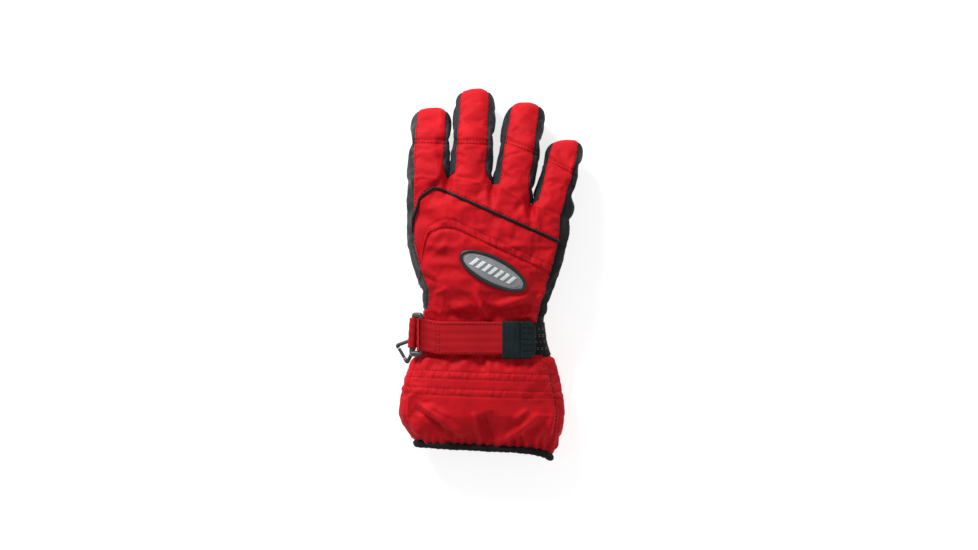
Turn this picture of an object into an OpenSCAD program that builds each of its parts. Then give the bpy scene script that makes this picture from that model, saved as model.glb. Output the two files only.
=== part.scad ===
// Padded ski glove for the right hand, lying palm down with its thumb tucked under the palm.
// X runs from the thumb side to the little finger, Y from the cuff to the fingertips, Z up.
// The origin is under the middle of the glove, on the surface that it lies on. Millimetres.

/* [Walls] */
// Thickness of the outer shell with its wadding
shell_t = 1.8; // [1.2:0.1:2.4]
// Thickness of the brushed lining
lining_t = 1.4; // [0.8:0.1:2]
// Play left at each bending line, so that neighbouring segments never touch
joint_gap = 0.7; // [0.4:0.1:1.2]

/* [Hand] */
// Line across the wrist where the gauntlet bends
wrist_y = -66; // [-68:1:-64]
// Height of that bending line
wrist_z = 24.5; // [22:0.5:27]

/* [Fingers] */
// How far a finger bends down at its root
knuckle_curl = 60; // [30:5:60]
// How far a finger bends down at its stitched dart
middle_curl = 60; // [30:5:60]
// How far a finger bends back up at its root
knuckle_lift = 10; // [0:1:10]
// How far a finger straightens at its stitched dart
middle_lift = 5; // [0:1:10]
// Half height of a finger
finger_hh = 12; // [11:0.5:12.5]

/* [Thumb] */
// Root of the thumb, on the axis that it swings about
thumb_root = [-41, -4, 10.6]; // [-60:0.1:60]
// Direction of the tucked thumb, clockwise from the fingers' direction
thumb_turn = 36; // [30:1:40]
// Half width of the thumb
thumb_hw = 15; // [13:0.5:16]
// Half height of the thumb
thumb_hh = 9.8; // [8:0.1:10]
// From the thumb's root to its middle joint
thumb_base_l = 31; // [28:1:34]
// From the thumb's middle joint to its tip
thumb_tip_l = 30; // [26:1:34]
// How far the thumb's tip bends
thumb_curl = 45; // [20:5:50]

/* [Strap] */
// Width of the wrist webbing
strap_w = 25; // [20:1:26]
// Thickness of the wrist webbing
strap_t = 1.5; // [1:0.1:1.8]
// Middle of the strap along the glove
strap_y = -48; // [-50:0.1:-47]
// Thickness of the bars of the strap ring
ring_bar = 3; // [2.4:0.1:3.2]

/* [Badge] */
// Long and short axes of the oval badge
badge_size = [56.6, 22.4]; // [15:1:60]
// Centre of the badge on the back of the hand
badge_at = [3.1, 3]; // [-10:0.1:10]
// Slope of the badge's long axis
badge_turn = -27; // [-45:1:0]

/* [Clip] */
// Thickness of the glove clip
clip_t = 2.8; // [2:0.1:3]

/* [Hidden] */

RED = "#c4121c";
BLACK = "#1c2022";
GREY = "#3c4144";
LEATHER = "#2a2d2e";

// Each finger: root, sideways lean per unit length, droop of the base and of the tip,
// length from root to dart, length from dart to tip, half width.
INDEX = [[-46.6, 75.6, 35.5], 0.05, 20, 35, 28.7, 29.2, 15.7];
MIDDLE = [[-14.2, 71.9, 36], 0.05, 15, 27, 31, 45.5, 16];
RING = [[18.3, 62.6, 36], 0.16, 15, 27, 37.5, 36.6, 15.6];
LITTLE = [[47.2, 52.6, 35.5], 0.28, 19, 36, 33, 22, 14.1];
HAND_FINGERS = [INDEX, MIDDLE, RING, LITTLE];

// Angles round a finger where its panels meet, counted from the little finger's side over the back
SIDE_R = [-42, -20, 0, 20, 47];
TOP = [47, 68, 90, 112, 133];
SIDE_L = [133, 160, 180, 200, 222];
SOLE = [222, 250, 290, 318];
dome_l = 15;

// Stations of the hand and the cuff: y, left edge, right edge, middle height, half height
HAND_STATIONS = [
    [-66, -60.5, 49.5, 24.5, 16.2], [-62, -57.5, 46.5, 25.1, 15], [-50, -52.5, 43, 26, 14],
    [-36, -51, 42.2, 27, 13.6], [-22, -50.8, 44.8, 31, 16], [-3, -54.5, 51.5, 35, 16.5],
    [16, -60.5, 57.5, 37, 16.5], [34, -63, 60.5, 37, 16], [80, -63, 62, 36, 13]];
CUFF_STATIONS = [
    [-66, -60.5, 49.5, 24.5, 16.2], [-80, -65.3, 53.7, 23, 20], [-95, -68, 56.5, 22.3, 21.8],
    [-108, -69.4, 57.2, 21.9, 21.9], [-117, -66.5, 56, 20.8, 19.8], [-125, -62, 53, 20, 16],
    [-130.5, -57.5, 48.6, 19.5, 13]];
section_power = 2.6;

function lerp(a, b, t) = a + (b - a) * t;
function ease(t) = let (c = max(0, min(1, t))) c * c * (3 - 2 * c);
function bent(c, e) = sign(c) * pow(abs(c), e);
function part_of(list, first, last) = [for (i = [first : last]) list[i]];

// Value k of the stations at y, straight between stations
function station(list, y, k, i = 0) =
    i >= len(list) - 2 || (y - list[i][0]) * (y - list[i + 1][0]) <= 0
        ? lerp(list[i][k], list[i + 1][k], max(0, min(1, (y - list[i][0]) / (list[i + 1][0] - list[i][0]))))
        : station(list, y, k, i + 1);

// Closed solid between two grids of points. Rows run along the glove and columns anticlockwise
// as seen from the cuff's end; wrap joins the last column to the first.
module shell(outer, inner, wrap = false) {
    rows = len(outer);
    cols = len(outer[0]);
    last = wrap ? cols : cols - 1;
    half = rows * cols;
    function o(i, j) = i * cols + j % cols;
    function n(i, j) = half + o(i, j);
    function quad(a, b, c, d) = [[a, b, c], [a, c, d]];
    skins = [for (i = [0 : rows - 2], j = [0 : last - 1])
        each concat(quad(o(i, j), o(i, j + 1), o(i + 1, j + 1), o(i + 1, j)),
                    quad(n(i, j), n(i + 1, j), n(i + 1, j + 1), n(i, j + 1)))];
    ends = [for (j = [0 : last - 1])
        each concat(quad(o(0, j), n(0, j), n(0, j + 1), o(0, j + 1)),
                    quad(o(rows - 1, j), o(rows - 1, j + 1), n(rows - 1, j + 1), n(rows - 1, j)))];
    sides = wrap ? [] : [for (i = [0 : rows - 2])
        each concat(quad(o(i, 0), o(i + 1, 0), n(i + 1, 0), n(i, 0)),
                    quad(o(i, cols - 1), n(i, cols - 1), n(i + 1, cols - 1), o(i + 1, cols - 1)))];
    points = concat([for (row = outer) each row], [for (row = inner) each row]);
    function distinct(f) =
        points[f[0]] != points[f[1]] && points[f[1]] != points[f[2]] && points[f[2]] != points[f[0]];
    polyhedron(points = points, faces = [for (f = concat(skins, ends, sides)) if (distinct(f)) f]);
}

// Tube of round section swept along points that never run along the given axis; closed joins its ends
module sweep(path, r, sides, axis, closed = false) {
    n = len(path);
    function along(i) = closed ? path[(i + 1) % n] - path[(i + n - 1) % n]
                               : path[min(n - 1, i + 1)] - path[max(0, i - 1)];
    rings = [for (i = [0 : n - 1])
        let (t = along(i) / norm(along(i)), s = cross(t, axis) / norm(cross(t, axis)), u = cross(s, t))
        [for (k = [0 : sides - 1]) path[i] + r * (cos(360 * k / sides) * s + sin(360 * k / sides) * u)]];
    last = closed ? n : n - 1;
    walls = [for (i = [0 : last - 1], k = [0 : sides - 1])
        let (a = i * sides, b = ((i + 1) % n) * sides, m = (k + 1) % sides)
        each [[a + k, b + m, a + m], [a + k, b + k, b + m]]];
    caps = closed ? [] : [
        [for (k = [0 : sides - 1]) k],
        [for (k = [sides - 1 : -1 : 0]) (n - 1) * sides + k]];
    polyhedron(points = [for (ring = rings) each ring], faces = concat(walls, caps));
}

// ---- fingers -------------------------------------------------------------------------------

function root(f) = f[0];
function lean(f) = f[1];
function droop(f, tip) = f[tip ? 3 : 2];
function half_w(f) = f[6];
function dart(f) = segment_point(root(f), f, false, f[4], 0, 0);

// Point at distance s along a segment that starts at j, at x across and z up from its middle line
function segment_point(j, f, tip, s, x, z) =
    let (d = droop(f, tip)) j + [x + s * cos(d) * lean(f), s * cos(d) + z * sin(d), z * cos(d) - s * sin(d)];

// How far an end is cut back at height z, so that two segments just meet at both ends of a bend
function cut(z, rest, curl, lift) =
    joint_gap / 2 + abs(z) * tan(z < 0 ? (rest + curl) / 2 : (lift - rest) / 2);
function knuckle_cut(f, z) = cut(z, f[2], knuckle_curl, knuckle_lift);
function dart_cut(f, z) = cut(z, f[3] - f[2], middle_curl, middle_lift);

function across(a, w) = w * bent(cos(a), 0.8);
function upward(a, h) = h * bent(sin(a), 0.8);

function base_rows(f, angles, inset) = [for (u = [0, 1]) [for (a = angles)
    let (x = across(a, half_w(f) - inset), z = upward(a, finger_hh - inset))
    segment_point(root(f), f, false, lerp(knuckle_cut(f, z), f[4] - dart_cut(f, z), u), x, z)]];

// The last rows close into a dome
DOME = [0, 0.45, 0.75, 0.93, 1];
function dome_share(t) = pow(1 - pow(t, 2.3), 1 / 2.3);
function tip_rows(f, angles, inset) = concat(
    [[for (a = angles) let (x = across(a, half_w(f) - inset), z = upward(a, finger_hh - inset))
        segment_point(dart(f), f, true, dart_cut(f, z), x, z)]],
    [for (t = DOME) let (k = dome_share(t), s = f[5] - dome_l + t * (dome_l - inset))
        [for (a = angles) segment_point(dart(f), f, true, max(s, dart_cut(f, upward(a, finger_hh))),
            k * across(a, half_w(f) - inset), k * upward(a, finger_hh - inset))]]);

module finger_base(f, angles) shell(base_rows(f, angles, 0), base_rows(f, angles, shell_t));
module finger_tip(f, angles) shell(tip_rows(f, angles, 0), tip_rows(f, angles, shell_t));
LINING_ANGLES = [-42, 0, 47, 90, 133, 180, 222, 250, 290];

module finger_base_back(f) color(RED) finger_base(f, TOP);
module finger_base_palm(f) color(LEATHER) finger_base(f, SOLE);
module finger_base_sides(f) color(GREY) {
    finger_base(f, SIDE_L);
    finger_base(f, SIDE_R);
}
module finger_tip_back(f) color(RED) finger_tip(f, TOP);
module finger_tip_palm(f) color(LEATHER) finger_tip(f, SOLE);
module finger_tip_sides(f) color(GREY) {
    finger_tip(f, SIDE_L);
    finger_tip(f, SIDE_R);
}
module finger_lining(f) color(GREY) shell(
    concat(base_rows(f, LINING_ANGLES, shell_t), tip_rows(f, LINING_ANGLES, shell_t)),
    concat(base_rows(f, LINING_ANGLES, shell_t + lining_t), tip_rows(f, LINING_ANGLES, shell_t + lining_t)),
    wrap = true);

// ---- hand ----------------------------------------------------------------------------------

// Columns round the hand: the finger that each leads to, the angle round that finger, whether
// it lies on the back, and for the two columns in each fork where they lie across the hand
function fork_x(f, near) = root(HAND_FINGERS[f])[0] - half_w(HAND_FINGERS[f]) - (near ? 0.6 : 1.6);
HAND_COLS = concat(
    [for (a = [-42, -20, 0, 20]) [3, a, false]],
    [for (f = [3, 2, 1, 0]) each concat(
        [for (a = TOP) [f, a, true]],
        f == 0 ? [] : [[f, 178, true, fork_x(f, true)], [f - 1, 2, true, fork_x(f, false)]])],
    [for (a = [160, 180, 200, 222]) [0, a, false]],
    [for (f = [0 : 3]) each concat(
        f == 0 ? [] : [[f - 1, 358, false, fork_x(f, false)], [f, 182, false, fork_x(f, true)]],
        [for (a = [250, 290]) [f, a, false]])]);
FIRST_TOP = 4;
LAST_TOP = 29;
HAND_ROWS = 7;

// Seams across the back: a straight slope that turns down in an arch on the thumb side
function slope_seam(x, x0, y0, slope, arch) = y0 - slope * (x - x0) - arch * pow(max(0, x0 - x), 2);
function piping_y(x) = slope_seam(x, -36, 64.7, 0.446, 0.056);
function middle_seam_y(x) = slope_seam(x, -22.9, 33.7, 0.467, 0.035);

function front_x(c, inset) = c[3] != undef ? c[3] - inset :
    root(HAND_FINGERS[c[0]])[0] + across(c[1], half_w(HAND_FINGERS[c[0]]) - inset);
function front_z(c, inset) = root(HAND_FINGERS[c[0]])[2] + upward(c[1], finger_hh - inset);
function front_y(c, inset) =
    let (f = HAND_FINGERS[c[0]]) root(f)[1] - knuckle_cut(f, upward(c[1], finger_hh - inset));
palm_l = root(INDEX)[0] - half_w(INDEX);
palm_r = root(LITTLE)[0] + half_w(LITTLE);
// Where a column lies across the hand, from -1 at the thumb side to 1
function share(c) = 2 * (front_x(c, 0) - palm_l) / (palm_r - palm_l) - 1;

function section_z(s) = pow(max(0, 1 - pow(abs(s), section_power)), 0.5);
function section_point(list, y, s, up, inset) =
    let (l = station(list, y, 1) + inset, r = station(list, y, 2) - inset, h = station(list, y, 4) - inset)
    [(l + r) / 2 + s * (r - l) / 2, y, station(list, y, 3) + up * section_z(s) * h];

function row_y(c, row, inset) =
    let (back = c[2], x = lerp(palm_l, palm_r, (share(c) + 1) / 2), front = front_y(c, inset))
    row == 0 ? wrist_y :
    row == 1 ? -62 :
    row == 2 ? -50 :
    row == 3 ? -36 :
    row == 4 ? -22 :
    row == 5 ? (back ? max(-16, middle_seam_y(x)) : lerp(-22, front, 0.36)) :
    row == 6 ? (back ? min(front - 4, piping_y(x)) : lerp(-22, front, 0.7)) : front;

// The wrist's end is cut back so that the gauntlet can bend up and down
wrist_cut = tan(13);
function hand_point(c, row, inset) =
    let (y = row_y(c, row, inset), up = sin(c[1]) < 0 ? -1 : 1,
         p = section_point(HAND_STATIONS, y, share(c), up, inset),
         t = ease((y - 34) / (front_y(c, inset) - 34)),
         q = [lerp(p[0], front_x(c, inset), t), y, lerp(p[2], front_z(c, inset), t)])
    row > 0 ? q : q + [0, joint_gap / 2 + abs(q[2] - wrist_z) * wrist_cut, 0];
function hand_rows(cols, first, last, inset) =
    [for (row = [first : last]) [for (c = cols) hand_point(c, row, inset)]];
module hand_patch(cols, first, last, outer = 0, inner = shell_t, wrap = false)
    shell(hand_rows(cols, first, last, outer), hand_rows(cols, first, last, inner), wrap);

TOP_COLS = part_of(HAND_COLS, FIRST_TOP, LAST_TOP);
SIDE_COLS = part_of(HAND_COLS, 0, FIRST_TOP);
PALM_COLS = concat(part_of(HAND_COLS, LAST_TOP, len(HAND_COLS) - 1), [HAND_COLS[0]]);

module palm_leather() color(LEATHER) difference() {
    hand_patch(PALM_COLS, 4, HAND_ROWS);
    translate([thumb_root[0], thumb_root[1], 0]) cylinder(r = thumb_hole_r, h = 34, $fn = 48);
}
thumb_hole_r = 9;
module wrist_palm_panel() color(RED) hand_patch(PALM_COLS, 0, 4);
module back_panel() color(RED) hand_patch(TOP_COLS, 0, 5);
module middle_back_panel() color(RED) hand_patch(TOP_COLS, 5, 6);
module knuckle_panel() color(RED) hand_patch(TOP_COLS, 6, HAND_ROWS);
module side_panel() color(GREY) hand_patch(SIDE_COLS, 0, HAND_ROWS);

// The lining stands a little clear of the shell, which leaves room for the wrist elastic
lining_play = 0.9;
lining_outer = shell_t + lining_play;
LINING_COLS = [for (c = HAND_COLS) if (c[1] != 68 && c[1] != 112) c];
module hand_lining() color(GREY) difference() {
    hand_patch(LINING_COLS, 0, HAND_ROWS, lining_outer, lining_outer + lining_t, true);
    translate([thumb_root[0], thumb_root[1], 0]) cylinder(r = thumb_hole_r, h = 34, $fn = 48);
}
module wrist_elastic() color(BLACK) hand_patch(LINING_COLS, 2, 3, shell_t + 0.1, shell_t + 0.8, true);

// Height of the back panel, which runs straight from its rise at the wrist to its seam
back_rise_y = -22;
function back_z(x, y) =
    let (l = station(HAND_STATIONS, y, 1), r = station(HAND_STATIONS, y, 2), s = (2 * x - l - r) / (r - l),
         seam = max(-16, middle_seam_y(x)), t = (y - back_rise_y) / (seam - back_rise_y),
         rise = section_point(HAND_STATIONS, back_rise_y, s, 1, 0),
         top = section_point(HAND_STATIONS, seam, s, 1, 0))
    lerp(rise[2], top[2], t);

piping_r = 1.3;
piping_lift = 1.6;
module knuckle_piping() color(BLACK)
    sweep([for (c = TOP_COLS) hand_point(c, 6, 0) + [0, 0, piping_r + piping_lift]], piping_r, 6, [0, 0, 1]);

// ---- badge ---------------------------------------------------------------------------------

badge_t = 1.8;
badge_rim_w = 2.2;
function badge_point(a, b, angle, lift) =
    let (u = a * cos(angle), v = b * sin(angle),
         x = badge_at[0] + u * cos(badge_turn) - v * sin(badge_turn),
         y = badge_at[1] + u * sin(badge_turn) + v * cos(badge_turn))
    [x, y, back_z(x, y) + 0.9 + lift];
module badge_ring(a0, b0, a1, b1, t) {
    steps = [for (k = [0 : 27]) -k * 360 / 28];
    shell([for (u = [0, 1]) [for (k = steps) badge_point(lerp(a0, a1, u), lerp(b0, b1, u), k, t)]],
          [for (u = [0, 1]) [for (k = steps) badge_point(lerp(a0, a1, u), lerp(b0, b1, u), k, 0)]], true);
}
module badge_rim() color(BLACK)
    badge_ring(badge_size[0] / 2, badge_size[1] / 2, badge_size[0] / 2 - badge_rim_w,
        badge_size[1] / 2 - badge_rim_w, badge_t);
module badge_face() color("silver")
    badge_ring(badge_size[0] / 2 - badge_rim_w - 0.05, badge_size[1] / 2 - badge_rim_w - 0.05, 0.5, 0.5,
        badge_t - 0.6);

// ---- cuff ----------------------------------------------------------------------------------

CUFF_ANGLES = [for (k = [0 : 23]) k * 15 - 30];
GUSSET_LAST = 4;
CUFF_TOP_LAST = 14;
CUFF_YS = [for (c = CUFF_STATIONS) c[0]];
// The hem hangs lower towards the little finger
function hem_drop(s, y) = (-3.2 * s - 4 * pow(max(0, s), 4)) * ease((-105 - y) / 25);
function cuff_point(a, y, inset) =
    let (s = bent(cos(a), 0.75), up = sin(a) < 0 ? -1 : 1,
         p = section_point(CUFF_STATIONS, y, s, up, inset))
    [p[0], y == -66 ? y - joint_gap / 2 - abs(p[2] - wrist_z) * wrist_cut : y + hem_drop(s, y), p[2]];
// Rows run towards the fingers, as on the hand
function cuff_rows(angles, inset) =
    [for (i = [len(CUFF_YS) - 1 : -1 : 0]) [for (a = angles) cuff_point(a, CUFF_YS[i], inset)]];
module cuff_patch(angles) shell(cuff_rows(angles, 0), cuff_rows(angles, shell_t));
module cuff_gusset() color(RED) cuff_patch(part_of(CUFF_ANGLES, 0, GUSSET_LAST));
module cuff_back() color(RED) cuff_patch(part_of(CUFF_ANGLES, GUSSET_LAST, CUFF_TOP_LAST));
module cuff_palm() color(RED) cuff_patch(concat(part_of(CUFF_ANGLES, CUFF_TOP_LAST, 23), [CUFF_ANGLES[0]]));
module cuff_lining() color(GREY) {
    angles = [for (i = [0 : 2 : 23]) CUFF_ANGLES[i]];
    shell(cuff_rows(angles, lining_outer), cuff_rows(angles, lining_outer + lining_t), true);
}
hem_r = 2.8;
hem_inset = 2.2;
module hem_binding() color(BLACK) {
    path = [for (a = [0 : 10 : 350]) cuff_point(a, CUFF_YS[6], hem_inset) - [0, hem_r + 0.1, 0]];
    sweep(path, hem_r, 8, [0, 1, 0], closed = true);
}

// ---- thumb ---------------------------------------------------------------------------------

// The thumb lies flat under the palm. It swings and bends about upright axes.
function thumb_cut(x) = joint_gap / 2 + abs(x) * tan(x > 0 ? thumb_curl / 2 : 5);
function thumb_section(a, inset) = [across(a, thumb_hw - inset), upward(a, thumb_hh - inset)];
function thumb_place(p) =
    [thumb_root[0] + p[0] * cos(thumb_turn) + p[1] * sin(thumb_turn),
     thumb_root[1] - p[0] * sin(thumb_turn) + p[1] * cos(thumb_turn), thumb_root[2] + p[2]];
// Behind its root the base closes in a round heel
HEEL = [1, 0.9, 0.65, 0.3];
heel_l = 13;
function thumb_base_rows(angles, inset) = concat(
    [for (t = HEEL) let (k = dome_share(t))
        [for (a = angles) let (p = thumb_section(a, inset))
            thumb_place([k * p[0], -t * (heel_l - inset), k * p[1]])]],
    [[for (a = angles) let (p = thumb_section(a, inset))
        thumb_place([p[0], thumb_base_l - thumb_cut(p[0]), p[1]])]]);
function thumb_tip_rows(angles, inset) = concat(
    [[for (a = angles) let (p = thumb_section(a, inset))
        thumb_place([p[0], thumb_base_l + thumb_cut(p[0]), p[1]])]],
    [for (t = DOME) let (k = dome_share(t), s = thumb_tip_l - dome_l + t * (dome_l - inset))
        [for (a = angles) let (p = thumb_section(a, inset))
            thumb_place([k * p[0], thumb_base_l + max(s, thumb_cut(p[0])), k * p[1]])]]);
module thumb_mouth() translate([thumb_root[0], thumb_root[1], thumb_root[2] + 4]) children();
module thumb_base(angles) difference() {
    shell(thumb_base_rows(angles, 0), thumb_base_rows(angles, shell_t));
    thumb_mouth() cylinder(r = thumb_hole_r, h = 12, $fn = 48);
}
module thumb_tip(angles) shell(thumb_tip_rows(angles, 0), thumb_tip_rows(angles, shell_t));
THUMB_BACK = [180, 210, 240, 270, 300, 330, 360];
THUMB_PALM = [0, 30, 60, 90, 120, 150, 180];
module thumb_base_back() color(RED) thumb_base(THUMB_BACK);
module thumb_base_palm() color(LEATHER) thumb_base(THUMB_PALM);
module thumb_tip_back() color(RED) thumb_tip(THUMB_BACK);
module thumb_tip_palm() color(LEATHER) thumb_tip(THUMB_PALM);
module thumb_lining() color(GREY) difference() {
    angles = [0, 60, 120, 180, 240, 300];
    shell(concat(part_of(thumb_base_rows(angles, shell_t), 2, 4), thumb_tip_rows(angles, shell_t)),
          concat(part_of(thumb_base_rows(angles, shell_t + lining_t), 2, 4),
                 thumb_tip_rows(angles, shell_t + lining_t)), true);
    thumb_mouth() cylinder(r = thumb_hole_r, h = 12, $fn = 48);
}

// ---- strap, ring and label -------------------------------------------------------------------

ring_r = ring_bar / 2;
// The ring's bar that the strap folds round, and the bar that the keeper holds: x and z
fold_bar = [-52.2, 36.4];
keeper_bar = [-59.6, 33];
web_play = 0.35;
fold_r = ring_r + web_play;
// Direction in which the strap leaves its fold
fold_turn = 16;
// Height of the strap's path over the wrist, for the tallest section that it crosses
strap_play = 1.3;
function strap_z(x, lift) =
    let (s = max(-0.93, min(0.97, (x + 4.75) / 47.75)))
    section_point(HAND_STATIONS, -50, s, 1, 0)[2] + strap_play + lift;
STRAP_XS = [-44, -38, -30, -20, -8, 8, 22, 34];
function strap_curve(xs, lift) = [for (x = xs) [x, strap_z(x, lift)]];
// A flat band that follows the wrist, between two heights, along the given x values
module band(xs, low, high, w, y) translate([0, y + w / 2, 0]) rotate([90, 0, 0]) linear_extrude(w)
    polygon(concat(strap_curve(xs, low), [for (i = [len(xs) - 1 : -1 : 0]) [xs[i], strap_z(xs[i], high)]]));
module across_strap(w, y) translate([0, y + w / 2, 0]) rotate([90, 0, 0]) linear_extrude(w) children();

// Straight stretch of the strap under the fold, and its end at a distance below the bar
fold_l = 2.2;
function fold_end(r) =
    fold_bar + [fold_l * cos(fold_turn) + r * sin(fold_turn), fold_l * sin(fold_turn) - r * cos(fold_turn)];
module strap_base() color(RED) {
    band(STRAP_XS, 0, strap_t, strap_w, strap_y);
    across_strap(strap_w, strap_y) {
        difference() {
            translate(fold_bar) circle(r = fold_r + strap_t, $fn = 40);
            translate(fold_bar) circle(r = fold_r, $fn = 40);
            translate(fold_bar) rotate(fold_turn) translate([0, -10]) square(20);
        }
        translate(fold_bar) rotate(fold_turn) translate([0, -fold_r - strap_t]) square([fold_l, strap_t]);
        polygon([fold_end(fold_r), fold_end(fold_r + strap_t),
            [STRAP_XS[0], strap_z(STRAP_XS[0], 0)], [STRAP_XS[0], strap_z(STRAP_XS[0], strap_t)]]);
    }
}
module loop_pad() color(BLACK) band([-12, -8, 8, 22, 33], strap_t + 0.02, strap_t + 1, strap_w - 2, strap_y);

// The flap starts at the fold, where it lifts off about its upper edge
flap_start = fold_bar + (fold_r + strap_t) * [-sin(fold_turn), cos(fold_turn)];
flap_under = fold_bar + fold_r * [-sin(fold_turn), cos(fold_turn)];
flap_low = 3.9;
tab_x = 10;
tab_w = 29;
tab_t = 2.5;
TAB_XS = [tab_x + 0.05, tab_x + 2, 15, 22, 29, 33, 35.5];
module strap_flap() color(RED) across_strap(strap_w, strap_y)
    polygon(concat([flap_under + 0.15 * [cos(fold_turn), sin(fold_turn)]],
        strap_curve([-44, -38, -30, -20, -8, 8, tab_x], flap_low),
        [for (x = [tab_x, 8, -8, -20, -30, -38, -44]) [x, strap_z(x, flap_low + strap_t)]],
        [flap_start + 0.15 * [cos(fold_turn), sin(fold_turn)]]));
module pull_tab() color(BLACK)
    band(TAB_XS, flap_low - 0.1, flap_low - 0.1 + tab_t, tab_w, strap_y - 1.6);
module hook_patch() color(BLACK)
    band(part_of(TAB_XS, 1, 5), strap_t + 1.35, flap_low - 0.2, strap_w - 2, strap_y);

ring_in_l = strap_w + 1.2;
ring_y = strap_y;
module strap_ring() color(GREY) {
    bar_turn = atan2(fold_bar[1] - keeper_bar[1], fold_bar[0] - keeper_bar[0]);
    span = norm(fold_bar - keeper_bar);
    long = ring_in_l + ring_bar;
    for (p = [fold_bar, keeper_bar]) translate([p[0], ring_y, p[1]]) rotate([90, 0, 0])
        cylinder(r = ring_r, h = long + ring_bar, center = true, $fn = 32);
    for (side = [-1, 1]) translate([keeper_bar[0], ring_y + side * long / 2, keeper_bar[1]])
        rotate([0, -bar_turn, 0]) translate([span / 2, 0, 0])
            cube([span, ring_bar, ring_bar * 0.8], center = true);
}
keeper_t = 1.4;
module ring_keeper() color(RED) across_strap(strap_w - 1, ring_y) translate(keeper_bar) rotate(-30) {
    difference() {
        circle(r = fold_r + keeper_t, $fn = 40);
        circle(r = fold_r, $fn = 40);
    }
    translate([0.8, -fold_r - keeper_t]) square([4.4, keeper_t]);
}

// The label lies on the side panel's shoulder
LABEL_COLS = [for (a = [0, 20, 47, 68]) [3, a]];
module side_label() color(BLACK) hand_patch(LABEL_COLS, 1, 3, -0.9, -0.05);

// ---- clip ------------------------------------------------------------------------------------

// The clip hangs on a narrow tape loop under the keeper and swings about its short inner bar
clip_axis = [-57.6, -52, 19];
clip_tilt = 14;
clip_bar_l = 8;
clip_corner_a = [-14.2, -2];
clip_corner_b = [-6, -16];
// A flat bar with round ends between two points of the clip's plane
module flat_bar(a, b, w = clip_t) {
    translate(a) circle(d = w, $fn = 24);
    translate(b) circle(d = w, $fn = 24);
    translate(a) rotate(atan2(b[1] - a[1], b[0] - a[0])) translate([0, -w / 2]) square([norm(b - a), w]);
}
module clip_place() translate(clip_axis) rotate([0, -clip_tilt, 0]) children();
// The gate's ends, as shares of the side between the two corners, and the frame's stubs beside them
gate_start = 0.28;
gate_end = 0.75;
stub_a = 0.07;
stub_b = 0.06;
module clip_frame() color(GREY) clip_place() translate([0, 0, -clip_t / 2]) linear_extrude(clip_t) {
    top = [0, clip_bar_l / 2];
    low = [0, -clip_bar_l / 2];
    flat_bar(top, low, clip_t * 0.8);
    flat_bar(top, clip_corner_a);
    flat_bar(low, clip_corner_b);
    flat_bar(clip_corner_a, lerp(clip_corner_a, clip_corner_b, stub_a));
    flat_bar(clip_corner_b, lerp(clip_corner_b, clip_corner_a, stub_b));
}
module clip_gate() color(GREY) clip_place() translate([0, 0, -clip_t * 0.4]) linear_extrude(clip_t * 0.8)
    flat_bar(lerp(clip_corner_a, clip_corner_b, gate_start), lerp(clip_corner_a, clip_corner_b, gate_end),
        clip_t * 0.7);
loop_w = 2.4;
module clip_loop() color(BLACK) translate(clip_axis + [0, loop_w / 2, 0]) rotate([90, 0, 0])
    linear_extrude(loop_w) difference() {
        union() {
            circle(r = 2.6, $fn = 32);
            translate([0, -loop_w / 2]) square([6.5, loop_w]);
        }
        circle(r = 1.9, $fn = 32);
    }

palm_leather();
wrist_palm_panel();
back_panel();
middle_back_panel();
knuckle_panel();
side_panel();
knuckle_piping();
badge_rim();
badge_face();
hand_lining();
wrist_elastic();
strap_base();
loop_pad();
strap_ring();
ring_keeper();
side_label();
clip_loop();
cuff_back();
cuff_palm();
cuff_gusset();
cuff_lining();
hem_binding();
strap_flap();
pull_tab();
hook_patch();
clip_frame();
clip_gate();
thumb_base_back();
thumb_base_palm();
thumb_tip_back();
thumb_tip_palm();
thumb_lining();
finger_base_back(INDEX);  // index_base_back
finger_base_palm(INDEX);  // index_base_palm
finger_base_sides(INDEX);  // index_base_sides
finger_tip_back(INDEX);  // index_tip_back
finger_tip_palm(INDEX);  // index_tip_palm
finger_tip_sides(INDEX);  // index_tip_sides
finger_lining(INDEX);  // index_lining
finger_base_back(MIDDLE);  // middle_base_back
finger_base_palm(MIDDLE);  // middle_base_palm
finger_base_sides(MIDDLE);  // middle_base_sides
finger_tip_back(MIDDLE);  // middle_tip_back
finger_tip_palm(MIDDLE);  // middle_tip_palm
finger_tip_sides(MIDDLE);  // middle_tip_sides
finger_lining(MIDDLE);  // middle_lining
finger_base_back(RING);  // ring_base_back
finger_base_palm(RING);  // ring_base_palm
finger_base_sides(RING);  // ring_base_sides
finger_tip_back(RING);  // ring_tip_back
finger_tip_palm(RING);  // ring_tip_palm
finger_tip_sides(RING);  // ring_tip_sides
finger_lining(RING);  // ring_lining
finger_base_back(LITTLE);  // little_base_back
finger_base_palm(LITTLE);  // little_base_palm
finger_base_sides(LITTLE);  // little_base_sides
finger_tip_back(LITTLE);  // little_tip_back
finger_tip_palm(LITTLE);  // little_tip_palm
finger_tip_sides(LITTLE);  // little_tip_sides
finger_lining(LITTLE);  // little_lining
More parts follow.
